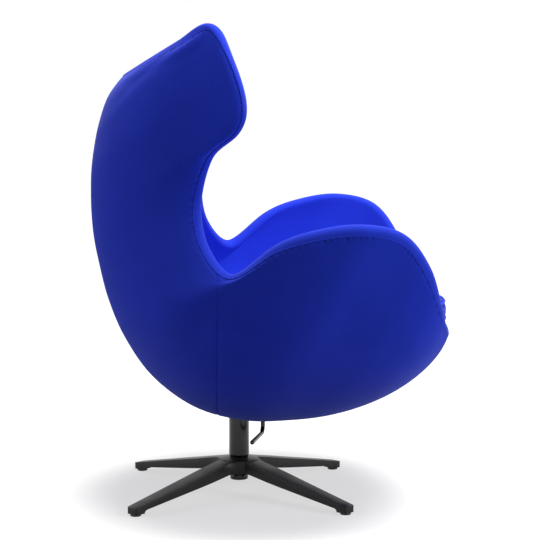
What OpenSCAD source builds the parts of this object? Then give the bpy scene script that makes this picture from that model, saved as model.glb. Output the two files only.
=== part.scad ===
// Swivelling, tilting lounge chair with a high-winged upholstered shell on a four-arm base.
// Millimetres. Z is up, the seat faces -Y, and the swivel axis meets the floor at the origin.

/* [Shell] */
// Width across the arm rims
shell_width = 850; // [780:5:900]
// Depth from the back to the front lip
shell_depth = 812; // [780:4:850]
// Height from the underside to the wing tips
shell_height = 902; // [860:2:950]
// Height of the underside above the floor
shell_bottom = 166; // [160:1:190]
// Thickness of the outer cover with its thin foam
cover_t = 6; // [4:0.5:8]
// Thickness of the moulded fibreglass core
core_t = 8; // [6:0.5:10]
// Thickness of the padding inside the core
padding_t = 26; // [22:1:28]
// How far the padded edge roll stands past the seam
roll_rise = 14; // [10:1:16]
// Width of the opening under the shell
opening_w = 92; // [88:1:100]
// Distance from the swivel axis to the front of the opening
opening_front = 72; // [68:1:76]
// Distance from the swivel axis to the back of the opening
opening_rear = 54; // [52:1:60]
// Corner radius of the opening
opening_r = 16; // [8:1:20]

/* [Seat] */
// Thickness of the plywood seat board
board_t = 12; // [9:0.5:15]
// Height of the seat board's underside above the shell's underside
board_rise = 158; // [154:1:164]
// Height of the deck's front above the front lip's seam
deck_over_lip = 27; // [24:1:29]
// Thickness of the deck padding at the back of the seat
deck_rear_t = 18; // [14:1:22]
// Room between an arm rim and the loose cushion
cushion_side_room = 130; // [128:1:150]
// Room between the back of the shell and the cushion
cushion_rear_room = 146; // [144:2:172]
// Thickness of the cushion between its two seams
cushion_edge_t = 38; // [30:1:46]
// How far the cushion's top swells above its upper seam
cushion_crown = 30; // [10:1:36]
// How far the cushion's underside swells below its lower seam
cushion_belly = 8; // [5:1:10]
// How far the cushion's side bulges between its two seams
cushion_bulge = 5; // [2:0.5:6]

/* [Base] */
// Distance from the swivel axis to the end of an arm
base_reach = 337; // [300:1:380]
// Width of an arm at its end
arm_end_w = 30; // [25:1:36]
// Width of an arm on its slender stretch
arm_mid_w = 44; // [38:1:48]
// Distance from the swivel axis to that slender stretch
arm_mid_at = 110; // [100:1:125]
// Width of an arm where it leaves the hub
arm_root_w = 42; // [38:1:48]
// Distance from the swivel axis to where an arm leaves the hub
arm_root_at = 52; // [50:1:56]
// Diameter of the round hub
hub_d = 89; // [84:1:96]
// Height of the arm's top edge at its end
arm_end_top = 20; // [18:0.5:24]
// Height of the arm's underside where it meets the foot
arm_end_under = 13; // [11:0.5:15]
// Height of the arm's underside half way along
arm_mid_under = 35; // [32:0.5:38]
// Distance from the swivel axis to that height
arm_mid_under_at = 145; // [135:1:155]
// Height of the top of the hub
hub_top = 82; // [78:1:86]
// Height of the underside of the hub
hub_under = 49; // [46:1:54]
// Length of the foot block under the end of an arm
foot_l = 25; // [25:1:34]
// Length of the slope from the foot block up to the arm's underside
foot_slope_l = 10; // [6:1:14]
// Diameter of a floor glide
glide_d = 24; // [18:1:24]
// Height of a floor glide
glide_h = 5; // [3:0.5:7]
// Diameter of the stem that holds a glide in its foot
glide_stem_d = 8; // [5:0.5:10]
// Length of that stem
glide_stem_l = 9; // [6:0.5:10]

/* [Column] */
// Outer diameter of the column
column_d = 46; // [44.5:0.5:48]
// Diameter of the column's lower end in the hub
socket_d = 41; // [39:0.5:42]
// Wall of the column tube
column_wall = 3; // [2:0.25:3.5]
// Height of the column's lower end above the floor
column_foot = 30; // [22:1:34]
// Length of the column hidden in the shell
column_inside = 56; // [52:1:58]
// Height of the conical shoulder above the hub
shoulder_h = 6; // [3:0.5:9]
// Length of the guide sleeve in the top of the column
sleeve_l = 72; // [50:1:80]
// Diameter of the gas cylinder
cylinder_d = 28; // [26:0.5:30]
// Wall of the gas cylinder
cylinder_wall = 2; // [1.5:0.25:2.5]
// Diameter of the piston rod
rod_d = 10; // [8:0.5:11]
// Diameter of the cylinder's neck in the tilt housing
neck_d = 26; // [20:0.5:26]
// Height of the piston
piston_h = 8; // [6:1:12]
// Diameter of a bearing ball
ball_d = 4; // [3:0.25:4.5]
// Number of bearing balls
ball_count = 10; // [6:1:12]
// Height of the rubber buffer
buffer_t = 4; // [3:0.5:6]

/* [Mechanism] */
// Inner width of the tilt housing
housing_w = 104; // [96:1:110]
// Thickness of the housing's pressed walls
housing_t = 3; // [2:0.25:4]
// Thickness of the housing's floor
housing_floor_t = 4; // [3:0.25:5]
// Distance from the swivel axis to the front of the housing
housing_front = 85; // [80:1:92]
// Distance from the swivel axis to the back of the housing
housing_rear = 70; // [64:1:76]
// Height of the housing's sides at the front
housing_front_h = 70; // [66:1:74]
// Height of the housing's sides at the back
housing_rear_h = 42; // [34:1:48]
// Distance from the swivel axis forward to the tilt axle
axle_forward = 45; // [45:0.5:48]
// Height of the tilt axle above the housing's underside
axle_rise = 55; // [55:0.5:58]
// Diameter of the tilt axle
axle_d = 14; // [10:0.5:14]
// Thickness of the top plate and of its ears
plate_t = 6; // [4:0.5:7]
// Length of the top plate
plate_l = 220; // [200:5:240]
// Width of the top plate
plate_w = 170; // [164:2:190]
// Width of an ear around the axle
ear_w = 28; // [24:1:32]
// Diameter of a plate screw's shank
screw_d = 6; // [4:0.5:8]
// Distance from the plate's edge to a screw
screw_inset = 20; // [16:1:22]
// Outer diameter of a return spring
spring_d = 26; // [20:1:28]
// Thickness of the return spring's wire
spring_wire_d = 4; // [3:0.25:5]
// Distance from the middle sideways to a return spring
spring_side = 26; // [24:1:28]
// Distance from the swivel axis back to a return spring
spring_back = 42; // [40:1:46]
// Diameter of the bent lever rod
lever_d = 10; // [8:0.5:11]
// How far the lever's lower run hangs below the shell
lever_drop = 24; // [22:1:30]
// Sideways reach of the lever from its pivot
lever_reach = 116; // [90:1:140]
// Bend radius of the lever rod
lever_bend_r = 18; // [12:1:24]
// Diameter of the lever's pivot pin
pivot_d = 8; // [6:0.5:8]
// Distance from the swivel axis sideways to the lever's pivot
pivot_side = 20; // [18:0.5:21]
// Height of the lever's pivot above the housing's underside
pivot_rise = 24; // [22:0.5:24]
// Diameter of the release button
button_d = 8; // [6:0.5:9]
// How far the release button stands out of the neck
button_out = 10; // [9:0.5:10]

/* [Hidden] */
$fn = 48;
// Radial clearance of a running fit
run_clear = 0.05;
// Gap between soft or loosely seated pieces
soft_gap = 0.3;
// Overrun of a cutting solid past the face that it cuts
overrun = 1;

cover_colour = [0.11, 0.17, 0.62];
padding_colour = [0.14, 0.22, 0.72];
roll_colour = [0.25, 0.35, 1];
cushion_colour = [0.16, 0.24, 0.78];
shell_colour = [0.75, 0.72, 0.62];
wood_colour = [0.72, 0.55, 0.36];
black_colour = [0.1, 0.1, 0.11];
steel_colour = [0.62, 0.63, 0.65];
rubber_colour = [0.18, 0.18, 0.18];

// Rows run from the top of the back down the spine, under the seat and up to the front lip.
// Spine back, spine up, rim out, rim back, rim up, wall fullness, rim flare.
// Back is a share of shell_depth, up of shell_height, out of half of shell_width.
shell_shares = [
    [0.317, 0.873, 0.000, 0.317, 0.873, 1.00, 0.00],
    [0.361, 0.819, 0.282, 0.269, 0.900, 1.00, 0.05],
    [0.387, 0.751, 0.447, 0.168, 0.954, 1.00, 0.08],
    [0.400, 0.694, 0.541, 0.088, 0.991, 1.00, 0.10],
    [0.408, 0.639, 0.616, 0.042, 0.919, 1.00, 0.12],
    [0.410, 0.586, 0.664, 0.006, 0.819, 1.00, 0.12],
    [0.409, 0.531, 0.673, 0.018, 0.750, 1.00, 0.10],
    [0.403, 0.470, 0.635, 0.090, 0.688, 1.00, 0.08],
    [0.389, 0.404, 0.635, 0.128, 0.581, 1.00, 0.10],
    [0.365, 0.317, 0.720, 0.111, 0.479, 1.00, 0.12],
    [0.320, 0.220, 0.861, 0.034, 0.411, 1.00, 0.14],
    [0.244, 0.120, 0.941, -0.088, 0.480, 1.00, 0.15],
    [0.129, 0.043, 0.979, -0.192, 0.511, 0.95, 0.15],
    [-0.006, 0.009, 1.000, -0.306, 0.522, 0.92, 0.15],
    [-0.135, 0.008, 0.958, -0.412, 0.499, 0.92, 0.13],
    [-0.254, 0.022, 0.908, -0.477, 0.426, 0.94, 0.12],
    [-0.362, 0.054, 0.824, -0.514, 0.343, 0.96, 0.10],
    [-0.453, 0.099, 0.692, -0.539, 0.285, 1.00, 0.08],
    [-0.528, 0.160, 0.461, -0.561, 0.249, 1.00, 0.04],
    [-0.584, 0.227, 0.000, -0.584, 0.227, 1.00, 0.00]
];
// Facets of the shell: rows along the spine, columns on each side of it, and sides of the roll
shell_rows = 38;
shell_cols = 7;
roll_sides = 6;
// The wall's direction is taken over these shares of a row and of a side, which keeps it smooth
slope_row_share = 0.9;
slope_side_share = 0.1;
// Nearer to the two ends than this share of a row, the wall's direction is the end's own
pole_share = 0.35;
last_row = len(shell_shares) - 1;
// Column of the table that holds how far out the rim lies
rim_out = 2;
shell_t = cover_t + core_t + padding_t;

// Heights from the floor up
column_r = column_d / 2;
socket_r = socket_d / 2;
cylinder_r = cylinder_d / 2;
rod_r = rod_d / 2;
neck_r = neck_d / 2;
hub_rim = 1;
column_recess = 6;
column_floor_t = 4;
race_t = 2;
race_r = 13;
ball_ring_r = 9;
clip_t = 2;
clip_gap = 0.5;
clip_wide = 4;
groove_depth = 1;
rod_end = 1;
column_floor = column_foot + column_recess;
balls_z = column_floor + column_floor_t + race_t;
washer_z = balls_z + ball_d;
buffer_z = washer_z + race_t;
cylinder_z = buffer_z + buffer_t + soft_gap;
clip_z = column_floor - clip_gap - clip_t;
column_top = shell_bottom + column_inside;
sleeve_flange_t = 3;
housing_room = 5;
housing_z = column_top + sleeve_flange_t + housing_room;
cylinder_guide_h = 10;
cylinder_head_h = 8;
piston_room = 14;
piston_top = housing_z - cylinder_head_h - piston_room;

// Tilt housing, its axle and the top plate
housing_half = housing_w / 2 + housing_t;
housing_floor_top = housing_z + housing_floor_t;
boss_h = 32;
boss_t = 7;
boss_top = housing_z + boss_h;
axle_r = axle_d / 2;
axle_y = -axle_forward;
axle_z = housing_z + axle_rise;
side_shelf_rear = 20;
front_wall_h = 40;
ear_gap = 2.5;
axle_clip_gap = 0.5;
axle_clip_t = 2;
axle_clip_wide = 3;
axle_end = 2;
ear_x = housing_half + ear_gap;
axle_clip_x = ear_x + plate_t + axle_clip_gap;
axle_half = axle_clip_x + axle_clip_t + axle_end;
board_z = shell_bottom + board_rise;
board_top = board_z + board_t;
plate_z = board_z - plate_t;
lip_z = shell_bottom + shell_shares[last_row][1] * shell_height;
deck_front_t = lip_z + deck_over_lip - board_top;
screw_head_h = 4;
screw_tip_gap = 2;

// Lever and release button
pivot_r = pivot_d / 2;
pivot_x = -pivot_side;
pivot_z = housing_z + pivot_rise;
pin_head_t = 3;
pin_head_wide = 2;
pin_end = 0.7;
bush_wall = 4;
bush_r = pivot_r + bush_wall;
bush_front = 62;
bush_rear = 26;
lug_gap = 0.3;
lug_t = 3;
lug_w = 20;
lug_over = 6;
lever_r = lever_d / 2;
lever_y = -54;
lever_sweep = 27;
lever_z = shell_bottom - lever_drop;
lever_turn = atan(lever_sweep / lever_reach);
slot_out = 11;
slot_in = 7;
slot_l = 14;
finger_t = 5;
riser_l = 8;
riser_w = 25;
finger_out = 10;
finger_in = 7;
finger_rear = 8;
button_r = button_d / 2;
button_l = 18;
button_bore_l = 23;
button_top = boss_top + button_out;
finger_z = button_top + soft_gap;

// Loose cushion: half of its plan from the front to the back, as shares of depth and half width
cushion_shares = [
    [0.000, 0.00], [0.016, 0.26], [0.070, 0.53], [0.124, 0.73], [0.190, 0.89], [0.280, 0.98],
    [0.400, 1.00], [0.520, 0.995], [0.620, 0.965], [0.700, 0.915], [0.775, 0.84],
    [0.850, 0.735], [0.920, 0.59], [0.975, 0.36], [1.000, 0.00]
];
// Column of the table that holds the half width
plan_out = 1;
// Middle of the cushion as a share of its depth
cushion_mid_share = 0.45;
// How far the cushion's front edge lies behind the seam of the front lip
cushion_inset = 8;
// Rings of the cushion's underside and top, as shares of the way from its middle to its edge
cushion_ring_shares = [0.3, 0.55, 0.75, 0.9];
crown_power = 2.5;
cushion_steps = 2;
cushion_w = shell_width - 2 * cushion_side_room;
cushion_d = shell_depth - cushion_rear_room;
cushion_front = shell_shares[last_row][0] * shell_depth + cushion_inset;
cushion_mid = cushion_front + cushion_mid_share * cushion_d;

// Value between table rows, a cubic through each row. Past either end the rows run back on the
// other side of the middle plane, so what lies in the column named out changes its sign.
function mirrored(row, out) = [for (c = [0 : len(row) - 1]) c == out ? -row[c] : row[c]];
function before(rows, k, out) = k > 0 ? rows[k - 1] : mirrored(rows[1], out);
function after(rows, k, out) =
    k + 2 < len(rows) ? rows[k + 2] : mirrored(rows[len(rows) - 2], out);
function cubic(a, b, c, d, t) =
    (2 * b + (c - a) * t + (2 * a - 5 * b + 4 * c - d) * t * t
     + (3 * b - a - 3 * c + d) * t * t * t) / 2;
function between(rows, u, out) =
    let (k = min(floor(u), len(rows) - 2))
    cubic(before(rows, k, out), rows[k], rows[k + 1], after(rows, k, out), u - k);

// Point of the shell's outer surface: u counts rows, t runs from the spine, 0, to a rim, 1 or -1
function shell_point(u, t) =
    let (r = between(shell_shares, u, rim_out), a = 90 * abs(t),
         out = (1 - r[6]) * pow(sin(a), r[5]) + r[6] * abs(t),
         up = 1 - pow(cos(a), r[5]))
    [sign(t) * max(r[2], 0) * out * shell_width / 2,
     (r[0] + (r[3] - r[0]) * up) * shell_depth,
     shell_bottom + (r[1] + (r[4] - r[1]) * up) * shell_height];

function unit(v) = v / norm(v);
function wall_slope(u, t) =
    let (u0 = max(u - slope_row_share, 0), u1 = min(u + slope_row_share, last_row),
         t0 = max(t - slope_side_share, -1), t1 = min(t + slope_side_share, 1))
    unit(cross(shell_point(u, t1) - shell_point(u, t0),
               shell_point(u1, t) - shell_point(u0, t)));
// Outward direction of the wall
function wall_out(u, t) =
    u < pole_share ? wall_slope(pole_share, 0)
    : u > last_row - pole_share ? wall_slope(last_row - pole_share, 0)
    : wall_slope(u, t);
// Point at a depth under the outer surface
function shell_at(u, t, depth) = shell_point(u, t) - depth * wall_out(u, t);

cols = 2 * shell_cols + 1;
inner_rows = shell_rows - 1;
sheet_size = inner_rows * cols + 2;
function row_u(i) = last_row * i / shell_rows;
function col_t(j) = (j - shell_cols) / shell_cols;

// All points of a surface at a depth: the top end, the rows between, then the front end
function sheet(depth) = concat(
    [shell_at(0, 0, depth)],
    [for (i = [1 : inner_rows], j = [0 : cols - 1]) shell_at(row_u(i), col_t(j), depth)],
    [shell_at(last_row, 0, depth)]
);
function sheet_index(i, j) =
    i == 0 ? 0 : i == shell_rows ? sheet_size - 1 : 1 + (i - 1) * cols + j;
function quad(a, b, c, d) = [[a, b, c], [a, c, d]];
function flipped(faces) = [for (f = faces) [f[0], f[2], f[1]]];
function shifted(faces, by) = [for (f = faces) [for (v = f) v + by]];
// Faces are listed anticlockwise as seen from outside, and the solids flip them
sheet_faces = [
    for (i = [0 : shell_rows - 1], j = [0 : cols - 2])
        let (a = sheet_index(i, j), b = sheet_index(i, j + 1),
             c = sheet_index(i + 1, j + 1), d = sheet_index(i + 1, j))
        each (i == 0 ? [[a, c, d]] : i == shell_rows - 1 ? [[a, b, c]] : quad(a, b, c, d))
];
// Indices around the rim: down one side from the top and back up the other
rim = concat(
    [0],
    [for (i = [1 : inner_rows]) sheet_index(i, cols - 1)],
    [sheet_size - 1],
    [for (i = [inner_rows : -1 : 1]) sheet_index(i, 0)]
);
function next(k) = (k + 1) % len(rim);
function previous(k) = (k + len(rim) - 1) % len(rim);
rim_wall = [
    for (k = [0 : len(rim) - 1])
        each quad(rim[k] + sheet_size, rim[next(k)] + sheet_size, rim[next(k)], rim[k])
];
// Faces across the mouth of the shell, from one rim to the other
mouth_faces = [
    for (i = [0 : shell_rows - 1])
        let (a = sheet_index(i, cols - 1), b = sheet_index(i, 0),
             c = sheet_index(i + 1, 0), d = sheet_index(i + 1, cols - 1))
        each (i == 0 ? [[b, c, d]] : i == shell_rows - 1 ? [[a, b, c]] : quad(a, b, c, d))
];

// One closed layer of the shell between two depths under its outer surface
module shell_layer(depth_a, depth_b) {
    polyhedron(
        points = concat(sheet(depth_a), sheet(depth_b)),
        faces = flipped(concat(sheet_faces, flipped(shifted(sheet_faces, sheet_size)), rim_wall)),
        convexity = 6
    );
}

// The room inside the shell at a depth, closed across its mouth
module shell_room(depth) {
    polyhedron(
        points = sheet(depth),
        faces = flipped(concat(sheet_faces, mouth_faces)),
        convexity = 6
    );
}

// A block wider and deeper than the whole chair between two heights
module level_block(z0, z1) {
    translate([-shell_width, -shell_depth, z0])
        cube([2 * shell_width, 2 * shell_depth, z1 - z0]);
}

module ring(r_out, r_in, z, h) {
    translate([0, 0, z])
        difference() {
            cylinder(r = r_out, h = h);
            translate([0, 0, -overrun])
                cylinder(r = r_in, h = h + 2 * overrun);
        }
}

// A cylinder along X that is centred on a point
module rod_x(r, l, at) {
    translate(at)
        rotate([0, 90, 0])
            cylinder(r = r, h = l, center = true);
}

// A cylinder along Y from one place to another
module rod_y(r, x, z, y0, y1) {
    translate([x, y1, z])
        rotate([90, 0, 0])
            cylinder(r = r, h = y1 - y0);
}

// Base

module star_plan() {
    half = [[0, arm_root_w / 2], [arm_root_at, arm_root_w / 2], [arm_mid_at, arm_mid_w / 2],
            [base_reach, arm_end_w / 2]];
    last = len(half) - 1;
    circle(d = hub_d);
    for (q = [0 : 3])
        rotate(90 * q + 45)
            polygon([
                for (p = half) [p[0], -p[1]],
                for (k = [last : -1 : 0]) half[k]
            ]);
}

module star_base() {
    foot_start = base_reach - foot_l;
    color(black_colour)
        difference() {
            intersection() {
                linear_extrude(hub_top)
                    star_plan();
                rotate_extrude()
                    polygon([[0, hub_under], [arm_root_at, hub_under],
                             [arm_mid_under_at, arm_mid_under],
                             [foot_start - foot_slope_l, arm_end_under],
                             [foot_start, glide_h],
                             [base_reach, glide_h], [base_reach, arm_end_top],
                             [column_r + hub_rim, hub_top], [0, hub_top]]);
            }
            translate([0, 0, hub_under - overrun])
                cylinder(r = socket_r, h = hub_top - hub_under + 2 * overrun);
            for (k = [0 : 3])
                rotate([0, 0, 90 * k + 45])
                    translate([base_reach - foot_l / 2, 0, glide_h - overrun])
                        cylinder(d = glide_stem_d, h = glide_stem_l + overrun);
        }
}

module foot_glide(k) {
    color(rubber_colour)
        rotate([0, 0, 90 * k - 45])
            translate([base_reach - foot_l / 2, 0, 0]) {
                cylinder(d = glide_d, h = glide_h);
                cylinder(d = glide_stem_d, h = glide_h + glide_stem_l);
            }
}

module column_tube() {
    shoulder_z = hub_top + shoulder_h;
    socket_in = socket_r - column_wall;
    column_in = column_r - column_wall;
    color(black_colour)
        rotate_extrude()
            polygon([[socket_in, column_foot], [socket_r, column_foot], [socket_r, hub_top],
                     [column_r, shoulder_z], [column_r, column_top], [column_in, column_top],
                     [column_in, shoulder_z], [socket_in, hub_top],
                     [socket_in, column_floor + column_floor_t],
                     [rod_r + run_clear, column_floor + column_floor_t],
                     [rod_r + run_clear, column_floor], [socket_in, column_floor]]);
}

module guide_sleeve() {
    bore = cylinder_r + run_clear;
    sleeve_r = column_r - column_wall;
    color(rubber_colour)
        rotate_extrude()
            polygon([[bore, column_top - sleeve_l], [sleeve_r, column_top - sleeve_l],
                     [sleeve_r, column_top], [column_r, column_top],
                     [column_r, column_top + sleeve_flange_t],
                     [bore, column_top + sleeve_flange_t]]);
}

module thrust_race() {
    color(steel_colour)
        ring(race_r, rod_r + run_clear, column_floor + column_floor_t, race_t);
}

module bearing_balls() {
    color(steel_colour)
        for (k = [0 : ball_count - 1])
            rotate([0, 0, 360 * k / ball_count])
                translate([ball_ring_r, 0, balls_z + ball_d / 2])
                    sphere(d = ball_d);
}

// Swivelling spindle

module piston_rod() {
    piston_r = cylinder_r - cylinder_wall - run_clear;
    groove_r = rod_r - groove_depth;
    color(steel_colour)
        rotate_extrude()
            polygon([[0, clip_z - rod_end], [rod_r, clip_z - rod_end], [rod_r, clip_z],
                     [groove_r, clip_z], [groove_r, clip_z + clip_t], [rod_r, clip_z + clip_t],
                     [rod_r, piston_top - piston_h], [piston_r, piston_top - piston_h],
                     [piston_r, piston_top], [0, piston_top]]);
}

module retaining_clip() {
    color(steel_colour)
        ring(rod_r + clip_wide, rod_r - groove_depth, clip_z, clip_t);
}

module thrust_washer() {
    color(steel_colour)
        ring(race_r, rod_r, washer_z, race_t);
}

module rubber_buffer() {
    color(rubber_colour)
        ring(race_r, rod_r, buffer_z, buffer_t);
}

// Rising part

module gas_cylinder() {
    inner_r = cylinder_r - cylinder_wall;
    bore = rod_r + run_clear;
    color(black_colour)
        rotate_extrude()
            polygon([[bore, cylinder_z], [cylinder_r, cylinder_z], [cylinder_r, housing_z],
                     [neck_r, housing_z], [neck_r, boss_top],
                     [button_r + run_clear, boss_top],
                     [button_r + run_clear, button_top - button_bore_l],
                     [0, button_top - button_bore_l], [0, housing_z - cylinder_head_h],
                     [inner_r, housing_z - cylinder_head_h],
                     [inner_r, cylinder_z + cylinder_guide_h],
                     [bore, cylinder_z + cylinder_guide_h]]);
}

module release_button() {
    color(steel_colour)
        translate([0, 0, button_top - button_l])
            cylinder(r = button_r, h = button_l);
}

module housing_side(side) {
    translate([side * (housing_half - housing_t / 2) - housing_t / 2, 0, 0])
        rotate([90, 0, 90])
            linear_extrude(housing_t)
                polygon([[-housing_front, housing_z], [housing_rear, housing_z],
                         [housing_rear, housing_z + housing_rear_h],
                         [-side_shelf_rear, housing_z + housing_front_h],
                         [-housing_front, housing_z + housing_front_h]]);
}

module tilt_housing() {
    lug_y = -bush_rear + lug_gap;
    color(black_colour)
        difference() {
            union() {
                translate([-housing_half, -housing_front, housing_z])
                    cube([2 * housing_half, housing_front + housing_rear, housing_floor_t]);
                housing_side(-1);
                housing_side(1);
                translate([-housing_half, -housing_front, housing_z])
                    cube([2 * housing_half, housing_t, front_wall_h]);
                translate([0, 0, housing_z])
                    cylinder(r = neck_r + boss_t, h = boss_h);
                translate([pivot_x - lug_w / 2, lug_y, housing_z])
                    cube([lug_w, lug_t, pivot_rise + pivot_r + lug_over]);
            }
            translate([0, 0, housing_z - overrun])
                cylinder(r = neck_r, h = boss_h + 2 * overrun);
            rod_x(axle_r, 2 * housing_half + 2 * overrun, [0, axle_y, axle_z]);
            rod_y(pivot_r, pivot_x, pivot_z, -housing_front - overrun, lug_y + lug_t + overrun);
            translate([pivot_x - slot_out, lever_y - slot_l / 2, housing_z - overrun])
                cube([slot_out + slot_in, slot_l, housing_floor_t + 2 * overrun]);
        }
}

module tilt_axle() {
    color(steel_colour)
        rod_x(axle_r, 2 * axle_half, [0, axle_y, axle_z]);
}

module axle_clips() {
    color(steel_colour)
        for (side = [-1, 1])
            difference() {
                rod_x(axle_r + axle_clip_wide, axle_clip_t,
                      [side * (axle_clip_x + axle_clip_t / 2), axle_y, axle_z]);
                rod_x(axle_r, 2 * axle_half, [0, axle_y, axle_z]);
            }
}

module lever_pin() {
    end_y = -bush_rear + lug_gap + lug_t + pin_end;
    color(steel_colour) {
        rod_y(pivot_r, pivot_x, pivot_z, -housing_front, end_y);
        rod_y(pivot_r + pin_head_wide, pivot_x, pivot_z,
              -housing_front - pin_head_t, -housing_front);
    }
}

module return_spring(side) {
    color(steel_colour)
        translate([side * spring_side, spring_back, 0])
            ring(spring_d / 2, spring_d / 2 - spring_wire_d, housing_floor_top,
                 plate_z - soft_gap - housing_floor_top);
}

// Release lever

module lever_rod() {
    run = norm([lever_reach, lever_sweep]) - lever_bend_r;
    translate([pivot_x, lever_y, lever_z])
        rotate([0, 0, -lever_turn]) {
            translate([0, 0, lever_bend_r])
                cylinder(r = lever_r, h = pivot_z - lever_z - lever_bend_r);
            translate([-lever_bend_r, 0, lever_bend_r])
                rotate([-90, 0, 0])
                    rotate_extrude(angle = 90)
                        translate([lever_bend_r, 0])
                            circle(r = lever_r);
            translate([-lever_bend_r, 0, 0])
                rotate([0, -90, 0])
                    cylinder(r = lever_r, h = run);
            translate([-lever_bend_r - run, 0, 0])
                sphere(r = lever_r);
        }
}

module release_lever() {
    riser_y = -bush_rear - riser_l;
    color(black_colour)
        difference() {
            union() {
                rod_y(bush_r, pivot_x, pivot_z, -bush_front, -bush_rear);
                lever_rod();
                translate([pivot_x - pivot_r, riser_y, pivot_z])
                    cube([riser_w, riser_l, finger_z + finger_t - pivot_z]);
                translate([-finger_out, riser_y, finger_z])
                    cube([finger_out + finger_in, riser_l + bush_rear + finger_rear, finger_t]);
            }
            rod_y(pivot_r + run_clear, pivot_x, pivot_z,
                  -bush_front - overrun, -bush_rear + overrun);
        }
}

// Tilting seat

module screw_places() {
    for (x = [-1, 1], y = [-1, 0, 1])
        translate([x * (plate_w / 2 - screw_inset), y * (plate_l / 2 - screw_inset), 0])
            children();
}

module top_plate() {
    color(black_colour)
        difference() {
            union() {
                translate([-plate_w / 2, -plate_l / 2, plate_z])
                    cube([plate_w, plate_l, plate_t]);
                for (side = [-1, 1]) {
                    rod_x(ear_w / 2, plate_t, [side * (ear_x + plate_t / 2), axle_y, axle_z]);
                    translate([side * (ear_x + plate_t / 2) - plate_t / 2,
                               axle_y - ear_w / 2, axle_z])
                        cube([plate_t, ear_w, plate_z + plate_t - axle_z]);
                }
            }
            rod_x(axle_r + run_clear, 2 * axle_half, [0, axle_y, axle_z]);
            screw_places()
                translate([0, 0, plate_z - overrun])
                    cylinder(d = screw_d, h = plate_t + 2 * overrun);
        }
}

module plate_screws() {
    color(steel_colour)
        screw_places() {
            translate([0, 0, plate_z - screw_head_h])
                cylinder(r = screw_d, h = screw_head_h);
            translate([0, 0, plate_z - screw_head_h])
                cylinder(d = screw_d, h = screw_head_h + plate_t + board_t - screw_tip_gap);
        }
}

module seat_board() {
    color(wood_colour)
        difference() {
            intersection() {
                shell_room(cover_t + core_t);
                level_block(board_z, board_top);
            }
            screw_places()
                translate([0, 0, board_z - overrun])
                    cylinder(d = screw_d, h = board_t - screw_tip_gap + overrun);
        }
}

// Opening under the shell for the column and the lever
module shell_opening() {
    half = opening_w / 2 - opening_r;
    front = -opening_front + opening_r;
    rear = opening_rear - opening_r;
    for (x = [-half, half], y = [front, rear])
        translate([x, y, 0])
            cylinder(r = opening_r, h = board_z);
    translate([-half, -opening_front, 0])
        cube([2 * half, opening_front + opening_rear, board_z]);
    translate([-opening_w / 2, front, 0])
        cube([opening_w, rear - front, board_z]);
}

module shell_core() {
    color(shell_colour)
        difference() {
            shell_layer(cover_t, cover_t + core_t);
            shell_opening();
        }
}

module outer_cover() {
    color(cover_colour)
        difference() {
            shell_layer(0, cover_t);
            shell_opening();
        }
}

module inner_padding() {
    color(padding_colour)
        difference() {
            shell_layer(cover_t + core_t, shell_t);
            level_block(0, board_top);
        }
}

// Padded roll around the whole rim, on the edges of the three layers
module edge_roll() {
    depths = [0, cover_t, cover_t + core_t, shell_t];
    last = len(depths) - 1;
    sheets = [for (d = depths) sheet(d)];
    ring_size = roll_sides + last;
    points = [
        for (k = [0 : len(rim) - 1])
            let (p = sheets[0][rim[k]], q = sheets[last][rim[k]],
                 along = sheets[0][rim[next(k)]] - sheets[0][rim[previous(k)]],
                 across = (p - q) / 2, rise = unit(cross(along, p - q)))
            each concat(
                [for (s = [0 : roll_sides])
                    (p + q) / 2 + across * cos(180 * s / roll_sides)
                    + rise * roll_rise * sin(180 * s / roll_sides)],
                [for (d = [last - 1 : -1 : 1]) sheets[d][rim[k]]])
    ];
    faces = [
        for (k = [0 : len(rim) - 1], m = [0 : ring_size - 1])
            let (a = k * ring_size, b = next(k) * ring_size, n = (m + 1) % ring_size)
            each quad(a + m, a + n, b + n, b + m)
    ];
    color(roll_colour)
        polyhedron(points = points, faces = flipped(faces), convexity = 6);
}

// Height of the deck's sloping top
function deck_top(y) =
    board_top + deck_front_t + (deck_rear_t - deck_front_t) * (y - cushion_front) / cushion_d;

module deck_pad() {
    color(padding_colour)
        intersection() {
            shell_room(shell_t);
            rotate([90, 0, 90])
                linear_extrude(2 * shell_width, center = true)
                    polygon([[-shell_depth, board_top], [shell_depth, board_top],
                             [shell_depth, deck_top(shell_depth)],
                             [-shell_depth, deck_top(-shell_depth)]]);
        }
}

// Loose cushion

cushion_half = [
    for (k = [0 : len(cushion_shares) - 2], s = [0 : cushion_steps - 1])
        between(cushion_shares, k + s / cushion_steps, plan_out)
];
function plan_point(p, side) =
    [side * p[1] * cushion_w / 2, (p[0] - cushion_mid_share) * cushion_d];
// Outline around the cushion's middle, from the front along one side and back along the other
cushion_plan = concat(
    [for (p = cushion_half) plan_point(p, 1)],
    [plan_point(cushion_shares[len(cushion_shares) - 1], 1)],
    [for (k = [len(cushion_half) - 1 : -1 : 1]) plan_point(cushion_half[k], -1)]
);
// One ring of points: share of the way to the edge, bulge past it and height above the deck
function cushion_ring(share, bulge, rise) = [
    for (p = cushion_plan)
        let (q = p * (share + bulge / norm(p)))
        [q[0], q[1] + cushion_mid, deck_top(q[1] + cushion_mid) + soft_gap + rise]
];
function swell(share) = 1 - pow(share, crown_power);

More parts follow.
